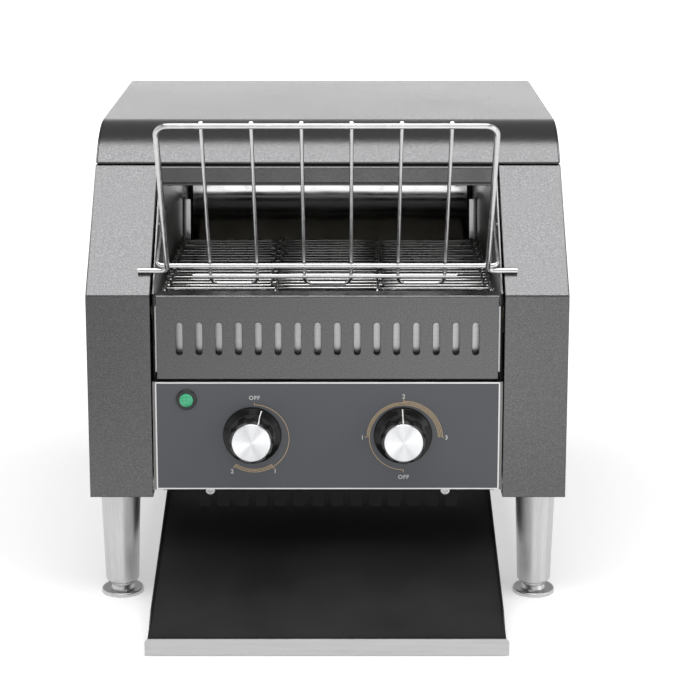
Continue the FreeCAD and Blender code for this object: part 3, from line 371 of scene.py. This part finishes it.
def brushed(name, base, rough, along, lines=1.0, wave=0.3, tint=(1, 1, 1), edge=0.0004, turned=0.0):
    # along: the axis the brushing runs along
    m = Mat(name)
    k = {"X": (0.02, 1, 1), "Y": (1, 0.02, 1), "Z": (1, 1, 0.02)}[along]
    a = m.noise(2400.0, 2.0, 0.6, stretch=k)
    b = m.noise(420.0, 3.0, 0.6, stretch=k, loc=(5, 2, 1))
    w = m.noise(7.0, 2.0, 0.5)
    lo = tuple(base * 0.90 * t for t in tint)
    hi = tuple(min(1.0, base * 1.08) * t for t in tint)
    m.put("Base Color", m.ramp(m.math("ADD", m.math("MULTIPLY", a, 0.5), m.math("MULTIPLY", b, 0.5)), (0.35, lo), (0.65, hi)))
    m.set(Metallic=1.0)
    m.put("Roughness", m.range(m.math("ADD", m.math("MULTIPLY", b, 0.6), m.math("MULTIPLY", w, 0.4)), rough * 0.85, rough * 1.2))
    m.edge(edge)
    m.bump(w, 0.0016, wave)
    m.bump(a, 0.00004, 0.5 * lines)
    if turned:
        # rings run round the upright axis, so the sheen stretches up and down
        ge = m.t.nodes.new("ShaderNodeNewGeometry")
        x = m.t.nodes.new("ShaderNodeVectorMath")
        x.operation = "CROSS_PRODUCT"
        x.inputs[1].default_value = (0.0, 0.0, 1.0)
        m.t.links.new(ge.outputs["Normal"], x.inputs[0])
        m.t.links.new(x.outputs[0], m.b.inputs["Tangent"])
        m.set(Anisotropic=turned, Anisotropic_Rotation=0.25)
    return m.done()


def stained(name, base, rough):
    # dull steel with brown-grey blotches: heat stain on the reflectors and the frame; on the control box case the dark
    # tone is painted shade
    m = Mat(name)
    a = m.noise(1800.0, 2.0, 0.6, stretch=(0.02, 1, 1))
    w = m.noise(16.0, 4.0, 0.6)
    m.put("Base Color", m.ramp(w, (0.3, (base * 0.70, base * 0.68, base * 0.66)), (0.55, grey(base)), (0.75, (base * 1.20, base * 1.16, base * 1.12))))
    m.set(Metallic=1.0)
    m.put("Roughness", m.range(w, rough * 0.85, rough * 1.25))
    m.bump(w, 0.0014, 0.25)
    m.bump(a, 0.00004, 0.5)
    return m.done()


def wall_steel():
    # upright brushing; the cut edges that face forward are painted near-black as painted shade for the dark gap beside
    # the vent panel, and made rougher
    m = Mat("tunnel_wall_steel")
    k = (1, 1, 0.02)
    a = m.noise(2400.0, 2.0, 0.6, stretch=k)
    w = m.noise(9.0, 3.0, 0.55)
    ge = m.t.nodes.new("ShaderNodeNewGeometry")
    sp = m.t.nodes.new("ShaderNodeSeparateXYZ")
    m.t.links.new(ge.outputs["Normal"], sp.inputs[0])
    # mask of the forward-facing cut edges, which get the painted shade
    front = m.range(sp.outputs["Y"], 1.0, 0.0, -0.9, -0.6)
    c = m.ramp(m.math("ADD", m.math("MULTIPLY", a, 0.4), m.math("MULTIPLY", w, 0.6)), (0.35, grey(0.46)), (0.65, grey(0.66)))
    m.put("Base Color", m.mixc(front, c, grey(0.05)))
    m.set(Metallic=1.0)
    m.put("Roughness", m.math("ADD", m.range(w, 0.40, 0.50), m.math("MULTIPLY", front, 0.2)))
    m.bump(w, 0.0016, 0.25)
    m.bump(a, 0.00004, 0.5)
    return m.done()


def polished(name, base, rough, wave=0.5):
    m = Mat(name)
    w = m.noise(11.0, 2.0, 0.5)
    sm = m.noise(26.0, 4.0, 0.6, loc=(1, 4, 2))
    sc = m.noise(900.0, 2.0, 0.6, stretch=(0.04, 1, 1))
    m.put("Base Color", m.ramp(sm, (0.35, grey(base * 0.93)), (0.65, grey(base))))
    m.set(Metallic=1.0)
    m.put("Roughness", m.math("ADD", m.range(sm, rough * 0.7, rough * 1.6, 0.35, 0.75), m.range(sc, 0.0, 0.03, 0.5, 0.75)))
    m.bump(w, 0.0012, wave)
    return m.done()


def wire():
    m = Mat("bright_wire")
    w = m.noise(130.0, 2.0, 0.5)
    g = m.noise(1400.0, 2.0, 0.6)
    m.put("Base Color", m.ramp(w, (0.3, grey(0.54)), (0.7, grey(0.64))))
    m.set(Metallic=1.0)
    m.put("Roughness", m.range(w, 0.16, 0.27))
    m.bump(g, 0.00003, 0.5)
    return m.done()


def belt_wire():
    m = Mat("belt_wire_steel")
    w = m.noise(40.0, 3.0, 0.6)
    g = m.noise(1500.0, 2.0, 0.6)
    m.put("Base Color", m.ramp(w, (0.3, (0.40, 0.395, 0.39)), (0.7, (0.56, 0.555, 0.55))))
    m.set(Metallic=1.0)
    m.put("Roughness", m.range(w, 0.20, 0.32))
    m.bump(g, 0.00003, 0.5)
    return m.done()


def zinc():
    m = Mat("zinc_plate")
    w = m.voronoi(90.0, 0.6)
    n = m.noise(60.0, 3.0, 0.6)
    g = m.noise(1600.0, 2.0, 0.6)
    m.put("Base Color", m.ramp(m.math("ADD", m.math("MULTIPLY", w, 0.5), m.math("MULTIPLY", n, 0.5)),
                               (0.25, (0.46, 0.47, 0.48)), (0.6, (0.60, 0.60, 0.585))))
    m.set(Metallic=1.0)
    m.put("Roughness", m.range(n, 0.28, 0.42))
    m.edge(0.0004)
    m.bump(g, 0.00004, 0.4)
    return m.done()


def film():
    m = Mat("slate_print_film")
    g = m.noise(1300.0, 2.0, 0.5)
    w = m.noise(12.0, 2.0, 0.5)
    m.put("Base Color", m.ramp(g, (0.3, (0.056, 0.059, 0.068)), (0.7, (0.070, 0.074, 0.084))))
    m.put("Roughness", m.range(w, 0.38, 0.46))
    m.set(Specular_IOR_Level=0.5)
    m.bump(w, 0.0007, 0.15)
    m.bump(g, 0.00003, 0.4)
    return m.done()


def knob_plastic():
    m = Mat("gloss_black_plastic")
    w = m.noise(60.0, 2.0, 0.5)
    g = m.noise(900.0, 2.0, 0.6)
    ge = m.t.nodes.new("ShaderNodeNewGeometry")
    sp = m.t.nodes.new("ShaderNodeSeparateXYZ")
    m.t.links.new(ge.outputs["True Normal"], sp.inputs[0])
    # faces that look straight ahead are painted lighter grey: a painted reflection of the bright front
    face = m.range(sp.outputs["Y"], 1.0, 0.0, -0.97, -0.93)
    c = m.ramp(w, (0.3, grey(0.006)), (0.7, grey(0.009)))
    m.put("Base Color", m.mixc(face, c, grey(0.055)))
    m.put("Roughness", m.range(g, 0.11, 0.18))
    m.set(Specular_IOR_Level=0.24)
    m.edge(0.0004)
    m.bump(w, 0.0003, 0.15)
    return m.done()


def spun():
    # turned end face: fine rings, fan-shaped sheen
    m = Mat("spun_aluminium")
    n = m.t.nodes.new("ShaderNodeTangent")
    n.direction_type = "RADIAL"
    n.axis = "Y"
    g = m.noise(700.0, 2.0, 0.5)
    m.put("Base Color", m.ramp(g, (0.3, (0.85, 0.855, 0.87)), (0.7, (0.91, 0.915, 0.93))))
    m.put("Roughness", m.range(g, 0.40, 0.46))
    m.set(Metallic=1.0, Anisotropic=0.95, Anisotropic_Rotation=0.25)
    m.t.links.new(n.outputs[0], m.b.inputs["Tangent"])
    return m.done()


def ceramic():
    m = Mat("steatite")
    g = m.noise(500.0, 3.0, 0.6)
    m.put("Base Color", m.ramp(g, (0.3, (0.70, 0.67, 0.60)), (0.7, (0.80, 0.77, 0.70))))
    m.put("Roughness", m.range(g, 0.5, 0.65))
    m.bump(g, 0.00008, 0.4)
    return m.done()


def lens():
    m = Mat("green_lamp_lens")
    n1 = m.t.nodes.new("ShaderNodeTexWave")
    n1.wave_type, n1.bands_direction = "BANDS", "X"
    n1.inputs["Scale"].default_value = 300.0
    m.t.links.new(m.coords(), n1.inputs["Vector"])
    n2 = m.t.nodes.new("ShaderNodeTexWave")
    n2.wave_type, n2.bands_direction = "BANDS", "Z"
    n2.inputs["Scale"].default_value = 300.0
    m.t.links.new(m.coords(), n2.inputs["Vector"])
    h = m.math("MULTIPLY", n1.outputs["Fac"], n2.outputs["Fac"])
    m.put("Base Color", m.ramp(h, (0.05, (0.008, 0.16, 0.07)), (0.6, (0.05, 0.50, 0.25))))
    m.put("Emission Color", m.ramp(h, (0.05, (0.01, 0.16, 0.07)), (0.6, (0.07, 0.55, 0.27))))
    m.set(Emission_Strength=0.36, Roughness=0.12, Coat_Weight=0.6, Coat_Roughness=0.04)
    m.bump(h, 0.00025, 0.7)
    return m.done()


def moulded(name, c0, c1, rough):
    m = Mat(name)
    g = m.noise(1100.0, 2.0, 0.6)
    w = m.noise(30.0, 2.0, 0.5)
    m.put("Base Color", m.ramp(w, (0.3, c0), (0.7, c1)))
    m.put("Roughness", m.range(g, rough * 0.9, rough * 1.12))
    m.edge(0.0004)
    m.bump(g, 0.00006, 0.5)
    return m.done()


def wool():
    m = Mat("mineral_wool")
    g = m.noise(350.0, 6.0, 0.7, stretch=(0.4, 1, 1))
    m.put("Base Color", m.ramp(g, (0.3, (0.55, 0.50, 0.40)), (0.7, (0.80, 0.76, 0.66))))
    m.put("Roughness", m.range(g, 0.85, 1.0))
    m.bump(g, 0.0012, 0.7)
    return m.done()


def bronze():
    m = Mat("sintered_bronze")
    g = m.noise(1800.0, 3.0, 0.7)
    m.put("Base Color", m.ramp(g, (0.3, (0.48, 0.32, 0.14)), (0.7, (0.66, 0.47, 0.24))))
    m.set(Metallic=1.0)
    m.put("Roughness", m.range(g, 0.35, 0.5))
    m.bump(g, 0.00005, 0.5)
    return m.done()


def sheath():
    m = Mat("oxidised_heater_sheath")
    g = m.noise(700.0, 3.0, 0.6)
    w = m.noise(18.0, 3.0, 0.6)
    m.put("Base Color", m.ramp(w, (0.3, (0.10, 0.085, 0.08)), (0.5, (0.17, 0.15, 0.14)), (0.75, (0.20, 0.17, 0.19))))
    m.set(Metallic=0.8)
    m.put("Roughness", m.range(g, 0.42, 0.6))
    m.bump(g, 0.00008, 0.5)
    return m.done()


def cast():
    m = Mat("grey_casting")
    g = m.noise(600.0, 4.0, 0.7)
    m.put("Base Color", m.ramp(g, (0.3, grey(0.19)), (0.7, grey(0.27))))
    m.set(Metallic=0.35)
    m.put("Roughness", m.range(g, 0.45, 0.62))
    m.edge(0.0008)
    m.bump(g, 0.00025, 0.6)
    return m.done()


# black enamel for the finger comb, painted darker than the satin black and with weaker specular, as painted shade for
# the shadow it hangs in
def dull_black():
    m = Mat("dull_black_enamel")
    g = m.noise(900.0, 2.0, 0.5)
    w = m.noise(20.0, 3.0, 0.55)
    m.put("Base Color", m.ramp(w, (0.3, grey(0.0032)), (0.7, grey(0.0055))))
    m.put("Roughness", m.range(g, 0.34, 0.46))
    m.set(Specular_IOR_Level=0.13)
    m.edge(0.0004)
    m.bump(g, 0.00005, 0.4)
    return m.done()


M = {
    "painted": paint(),
    "comb": dull_black(),
    "black": satin_black(),
    "steel": brushed("brushed_steel_across", 0.62, 0.30, "X"),
    "steel_y": brushed("brushed_steel_deep", 0.60, 0.30, "Y"),
    "steel_z": brushed("brushed_steel_upright", 0.60, 0.28, "Z"),
    "bright": polished("polished_steel", 0.80, 0.085),
    "zinc": zinc(),
    "wire": wire(),
    "belt": belt_wire(),
    "fascia": film(),
    "knob": knob_plastic(),
    "alu": spun(),
    "ceram": ceramic(),
    "lens": lens(),
    "blackpl": moulded("black_moulding", grey(0.012), grey(0.018), 0.38),
    "white": moulded("white_moulding", (0.66, 0.65, 0.60), (0.72, 0.71, 0.67), 0.5),
    "wool": wool(),
    "brass": bronze(),
    "heater": sheath(),
    "castgrey": cast(),
    "foot": brushed("turned_steel", 0.58, 0.30, "Z", lines=0.6, wave=0.1, edge=0.0003),
    "leg": brushed("turned_tube_steel", 0.56, 0.34, "Z", lines=0.6, wave=0.1, edge=0.0003, turned=0.85),
    "dull": brushed("brushed_steel_dull", 0.46, 0.34, "X"),
    "stained": stained("heat_stained_steel", 0.17, 0.36),
    "frame": stained("scorched_frame_steel", 0.06, 0.45),
    "inner": wall_steel(),
    # the control box case is darkened as painted shade for the dark gap between the left post and the vent panel
    "case": stained("shade_darkened_case_steel", 0.20, 0.40),
}

SLOT_OF = {p["node"]: p["material_slot"] for p in frame["record"]["subparts"]}
OWN = {
    "left_inner_wall": "inner", "right_inner_wall": "inner", "return_chute": "steel_y",
    "upper_reflector": "stained", "lower_reflector": "stained", "belt_support_frame": "frame", "control_box": "case",
    "front_heat_shield": "dull", "tray_lip": "dull", "crumb_tray": "steel", "finger_comb": "comb", "legs": "leg",
}
for name, ob in NODES.items():
    mt = M[OWN.get(name, SLOT_OF[name])]
    if not ob.material_slots:
        ob.data.materials.append(mt)
    for s in ob.material_slots:
        s.material = mt


# ------------------------------------------------------------------ mesh helpers
def add_mesh(name, verts, faces, mat, body, smooth=True, replaces=()):
    me = bpy.data.meshes.new(name)
    me.from_pydata([tuple(v) for v in verts], [], faces)
    me.validate()
    for p in me.polygons:
        p.use_smooth = smooth
    me.materials.append(mat)
    me.update()
    ob = bpy.data.objects.new(name, me)
    scene.collection.objects.link(ob)
    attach(ob, body)
    if replaces:
        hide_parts(*replaces)
    return ob


def tube(path, r, sides=8, verts=None, faces=None):
    # round tube along a polyline, closed ends, frames carried along
    verts = [] if verts is None else verts
    faces = [] if faces is None else faces
    n = len(path)
    t0 = (path[1] - path[0]).normalized()
    up = Vector((0, 0, 1)) if abs(t0.z) < 0.9 else Vector((0, 1, 0))
    u = t0.cross(up).normalized()
    base = len(verts)
    last = t0
    for i, p in enumerate(path):
        if i == 0:
            t = t0
        elif i == n - 1:
            t = (path[-1] - path[-2]).normalized()
        else:
            t = ((path[i + 1] - p).normalized() + (p - path[i - 1]).normalized()).normalized()
        q = last.rotation_difference(t)
        u = (q @ u).normalized()
        u = (u - t * u.dot(t)).normalized()
        v = t.cross(u)
        last = t
        rr = r[i] if isinstance(r, (list, tuple)) else r
        for k in range(sides):
            a = 2 * math.pi * k / sides
            verts.append(p + (u * math.cos(a) + v * math.sin(a)) * rr)
    for i in range(n - 1):
        for k in range(sides):
            a = base + i * sides + k
            b = base + i * sides + (k + 1) % sides
            faces.append((a, b, b + sides, a + sides))
    faces.append(tuple(base + k for k in reversed(range(sides))))
    faces.append(tuple(base + (n - 1) * sides + k for k in range(sides)))
    return verts, faces


def catmull(pts, n):
    out = []
    m = len(pts)
    for i in range(m - 1):
        p0, p1, p2, p3 = pts[max(i - 1, 0)], pts[i], pts[i + 1], pts[min(i + 2, m - 1)]
        for k in range(n):
            t = k / n
            out.append(tuple(0.5 * ((2 * b) + (-a + c) * t + (2 * a - 5 * b + 4 * c - d) * t * t + (-a + 3 * b - 3 * c + d) * t ** 3)
                             for a, b, c, d in zip(p0, p1, p2, p3)))
    out.append(tuple(pts[-1]))
    return out


# ------------------------------------------------------------------ wire belt
BP, BN, TEETH = 9.6, 49, 12
BR = TEETH * BP / (2 * math.pi)
BZ = 240.9
AZ = BZ - BR
AF = 45.0
AR = AF + (BN - TEETH) * BP / 2
LH = (BN - TEETH) * BP / 2


def belt_at(s, x, n):
    s = s % (BN * BP)
    arc = math.pi * BR
    if s < LH:
        d, z, nd, nz = AF + s, BZ, 0.0, 1.0
    elif s < LH + arc:
        a = (s - LH) / BR
        nd, nz = math.sin(a), math.cos(a)
        d, z = AR + BR * nd, AZ + BR * nz
    elif s < 2 * LH + arc:
        d, z, nd, nz = AR - (s - LH - arc), AZ - BR, 0.0, -1.0
    else:
        a = (s - 2 * LH - arc) / BR
        nd, nz = -math.sin(a), -math.cos(a)
        d, z = AF + BR * nd, AZ + BR * nz
    return P(x, d + nd * n, z + nz * n)


WR = 0.95                          # wire radius, mm
HK = 2 * WR + 0.12                 # hook clearance round the next wire
LANE = 1.5                         # step of the middle lane


def lane_off(x, odd):
    # the lane step sits at each strand's own crank
    c = 43.8 if odd else 39.8
    return LANE if abs(x) < c else 0.0


def crank(x0, x1, a0, a1, an):
    # from (x0, a0) forward round the next wire at an + pitch and back to (x1, a1)
    w = x1 - x0
    q = BP + an
    return [(x0, a0, 0.0), (x0 + 0.22 * w, a0 + 2.4, 0.9), (x0 + 0.34 * w, q - 2.2, HK * 0.95), (x0 + 0.40 * w, q, HK),
            (x0 + 0.46 * w, q + HK * 0.75, HK * 0.66), (x0 + 0.50 * w, q + HK, 0.0), (x0 + 0.54 * w, q + HK * 0.75, -HK * 0.66),
            (x0 + 0.60 * w, q, -HK), (x0 + 0.66 * w, q - 2.2, -HK * 0.95), (x0 + 0.78 * w, a1 + 2.4, -0.9), (x1, a1, 0.0)]


def end_hook(x, side, an):
    # bare end that wraps the next wire; side -1: left end first
    q = BP + an
    pts = [(x, q - 1.6, -HK), (x, q + HK * 0.5, -HK * 0.86), (x + 0.2, q + HK, 0.0), (x + 0.5, q + HK * 0.6, HK * 0.8),
           (x + 0.8, q - 1.6, HK), (x + 1.4, 3.0, 1.0), (x + 2.6, 0.4, 0.1), (x + 3.6, 0.0, 0.0)]
    if side > 0:
        pts = [(-a, b, c) for a, b, c in reversed(pts)]
    return pts


verts, faces = [], []
for i in range(BN):
    odd = i % 2 == 1
    if i == BN - 1:
        odd = False
    runs = []
    if odd:
        runs.append([(-128.7, 0, 0), (-125.4, 0, 0)])
        runs.append(crank(-125.2, -121.6, 0, 0, 0))
        runs.append(crank(-45.6, -42.0, 0, LANE, 0))
        runs.append(crank(42.0, 45.6, LANE, 0, 0))
        runs.append(crank(121.6, 125.2, 0, 0, 0))
        runs.append([(125.4, 0, 0), (128.7, 0, 0)])
    else:
        runs.append(end_hook(-128.7, -1, 0))
        runs.append(crank(-41.6, -38.0, 0, LANE, LANE))
        runs.append(crank(38.0, 41.6, LANE, 0, LANE))
        runs.append(end_hook(-128.7, 1, 0))
    pts = []
    for r in runs:
        if len(r) > 2:
            pts += catmull(r, 3)
        else:
            pts += r
    # even spacing marks on the long straights keep the arc frames stable
    full = [pts[0]]
    for p in pts[1:]:
        a = full[-1]
        if abs(p[0] - a[0]) > 20:
            for k in range(1, 4):
                full.append(tuple(a[j] + (p[j] - a[j]) * k / 4 for j in range(3)))
        full.append(p)
    s0 = i * BP + 2.0
    tube([belt_at(s0 + s, x, n) for x, s, n in full], WR / 1000.0, 8, verts, faces)
belt = add_mesh("conveyor_belt_wires", verts, faces, M["belt"], "housing", replaces=("conveyor_belt",))


# ------------------------------------------------------------------ knob pointers
def white_print(name, v):
    m = Mat(name)
    g = m.noise(900.0, 2.0, 0.5)
    m.put("Base Color", m.ramp(g, (0.3, tuple(c * 0.94 for c in v)), (0.7, v)))
    m.put("Roughness", m.range(g, 0.42, 0.55))
    m.bump(g, 0.00002, 0.3)
    return m.done()


M["white_mark"] = white_print("white_mark", (0.78, 0.78, 0.77))
M["gold_mark"] = white_print("gold_mark", (0.56, 0.40, 0.205))
M["silver_mark"] = white_print("silver_mark", (0.52, 0.52, 0.52))

KX, KZ, KB = 58.0, 136.4, -1.5


def pointer(name, x, ang, body):
    # raised line that follows the skirt, its slope and the side of the grip up to the cap
    prof = [(21.6, KB - 2.66), (21.4, KB - 2.83), (18.1, KB - 4.69), (17.62, KB - 5.3), (17.13, KB - 17.4), (16.4, KB - 18.42), (14.95, KB - 18.42)]
    a = math.radians(ang)
    rad, tan = (math.sin(a), math.cos(a)), (math.cos(a), -math.sin(a))
    v, f = [], []
    for k, (r, d) in enumerate(prof):
        r2, d2 = prof[min(k + 1, len(prof) - 1)]
        r1, d1 = prof[max(k - 1, 0)]
        tr, td = r2 - r1, d2 - d1
        ln = math.hypot(tr, td)
        nr, nd = (-td / ln, tr / ln)
        if nr < 0 or (abs(nr) < 1e-6 and nd > 0):
            nr, nd = -nr, -nd
        if nd > 0:
            nd = -nd
        for lift, wd in ((-0.25, 0.50), (0.16, 0.44), (0.16, -0.44), (-0.25, -0.50)):
            rr, dd = r + nr * lift, d + nd * lift
            v.append(P(x + rad[0] * rr + tan[0] * wd, dd, KZ + rad[1] * rr + tan[1] * wd))
    n = len(prof)
    for k in range(n - 1):
        for j in range(4):
            f.append((k * 4 + j, k * 4 + (j + 1) % 4, k * 4 + 4 + (j + 1) % 4, k * 4 + 4 + j))
    f.append((3, 2, 1, 0))
    f.append(tuple((n - 1) * 4 + j for j in range(4)))
    return add_mesh(name, v, f, M["white_mark"], body, smooth=False)


pointer("speed_knob_pointer", -KX, 20.0, "speed_knob")
pointer("function_knob_pointer", KX, -1.5, "function_knob")

# ------------------------------------------------------------------ dial print
FD = -1.1                          # front of the film


def ring_seg(cx, cz, r, a0, a1, w, n=48, lift=0.05, r1=None):
    # r1: radius at the far end of a line that widens out
    v, f = [], []
    for k in range(n + 1):
        a = math.radians(a0 + (a1 - a0) * k / n)
        rk = r if r1 is None else r + (r1 - r) * k / n
        for rr in (rk - w / 2, rk + w / 2):
            for dd in (FD - lift, FD + 0.02):
                v.append(P(cx + math.sin(a) * rr, dd, cz + math.cos(a) * rr))
    for k in range(n):
        b = k * 4
        f += [(b, b + 2, b + 6, b + 4), (b + 1, b + 5, b + 7, b + 3), (b, b + 4, b + 5, b + 1), (b + 2, b + 3, b + 7, b + 6)]
    f += [(0, 1, 3, 2), (n * 4, n * 4 + 2, n * 4 + 3, n * 4 + 1)]
    return v, f


def tick(cx, cz, r0, r1, a, w, lift=0.05):
    a = math.radians(a)
    rd, tg = (math.sin(a), math.cos(a)), (math.cos(a), -math.sin(a))
    v = []
    for r in (r0, r1):
        for s in (-w / 2, w / 2):
            for dd in (FD - lift, FD + 0.02):
                v.append(P(cx + rd[0] * r + tg[0] * s, dd, cz + rd[1] * r + tg[1] * s))
    f = [(0, 2, 6, 4), (1, 5, 7, 3), (0, 4, 5, 1), (2, 3, 7, 6), (0, 1, 3, 2), (4, 6, 7, 5)]
    return v, f


def join(parts):
    v, f = [], []
    for a, b in parts:
        k = len(v)
        v += a
        f += [tuple(i + k for i in q) for q in b]
    return v, f


LW = 0.38
LX, LZ = -56.7, KZ - 2.6
RX, RZ = 58.4, KZ - 1.5
left = [ring_seg(LX, LZ, 27.0, 1, 147.5, LW)] + [ring_seg(LX, LZ, r, 147.5, 214, LW, 30) for r in (24.8, 25.9, 27.0)]
left += [tick(LX, LZ, 26.8, 28.6, 1, LW), tick(LX, LZ, 24.6, 28.8, 147.5, LW), tick(LX, LZ, 24.6, 28.8, 214, LW)]
v, f = join(left)
add_mesh("speed_dial_print", v, f, M["gold_mark"], "housing", smooth=False)
right = [ring_seg(RX, RZ, 26.3, 180, 270, LW)]
right += [ring_seg(RX, RZ, a, 270, 360, LW, r1=b) for a, b in ((26.3, 25.7), (27.2, 26.7), (28.1, 27.7))]
right += [ring_seg(RX, RZ, a, 0, 90, LW, r1=b) for a, b in ((25.7, 26.7), (26.7, 27.85), (27.7, 29.0), (28.7, 30.1))]
right += [tick(RX, RZ, 26.1, 28.4, 180, LW), tick(RX, RZ, 27.9, 29.8, 270, LW), tick(RX, RZ, 27.6, 30.6, 0, LW), tick(RX, RZ, 29.9, 31.2, 90, LW)]
v, f = join(right)
add_mesh("function_dial_print", v, f, M["gold_mark"], "housing", smooth=False)


def label(name, text, x, z, size, mat):
    cu = bpy.data.curves.new(name, "FONT")
    cu.body = text
    cu.size = size / 1000.0 / 0.72
    cu.align_x, cu.align_y = "CENTER", "CENTER"
    cu.extrude = 0.00004
    cu.offset = 0.00009
    cu.space_character = 1.14
    cu.resolution_u = 6
    ob = bpy.data.objects.new(name + "_curve", cu)
    scene.collection.objects.link(ob)
    bpy.context.view_layer.update()
    dg = bpy.context.evaluated_depsgraph_get()
    me = bpy.data.meshes.new_from_object(ob.evaluated_get(dg))
    bpy.data.objects.remove(ob)
    me.name = name
    me.materials.clear()
    me.materials.append(mat)
    cxx = (min(q.co.x for q in me.vertices) + max(q.co.x for q in me.vertices)) / 2
    cyy = (min(q.co.y for q in me.vertices) + max(q.co.y for q in me.vertices)) / 2
    for q in me.vertices:
        a, b, c = q.co
        q.co = P(x, FD - 0.03, z) + Vector((a - cxx, -c, b - cyy))
    me.update()
    o2 = bpy.data.objects.new(name, me)
    scene.collection.objects.link(o2)
    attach(o2, "housing")
    return o2


label("speed_label_off", "OFF", LX + 0.6, 166.4, 3.2, M["silver_mark"])
label("speed_label_1", "1", -40.6, 107.6, 3.4, M["silver_mark"])
label("speed_label_2", "2", -73.8, 107.4, 3.4, M["silver_mark"])
label("function_label_off", "OFF", RX + 0.2, 102.8, 3.2, M["silver_mark"])
label("function_label_1", "1", RX - 31.6, RZ - 0.2, 3.4, M["silver_mark"])
label("function_label_2", "2", RX, 167.6, 3.4, M["silver_mark"])
label("function_label_3", "3", RX + 33.0, RZ - 0.2, 3.4, M["silver_mark"])
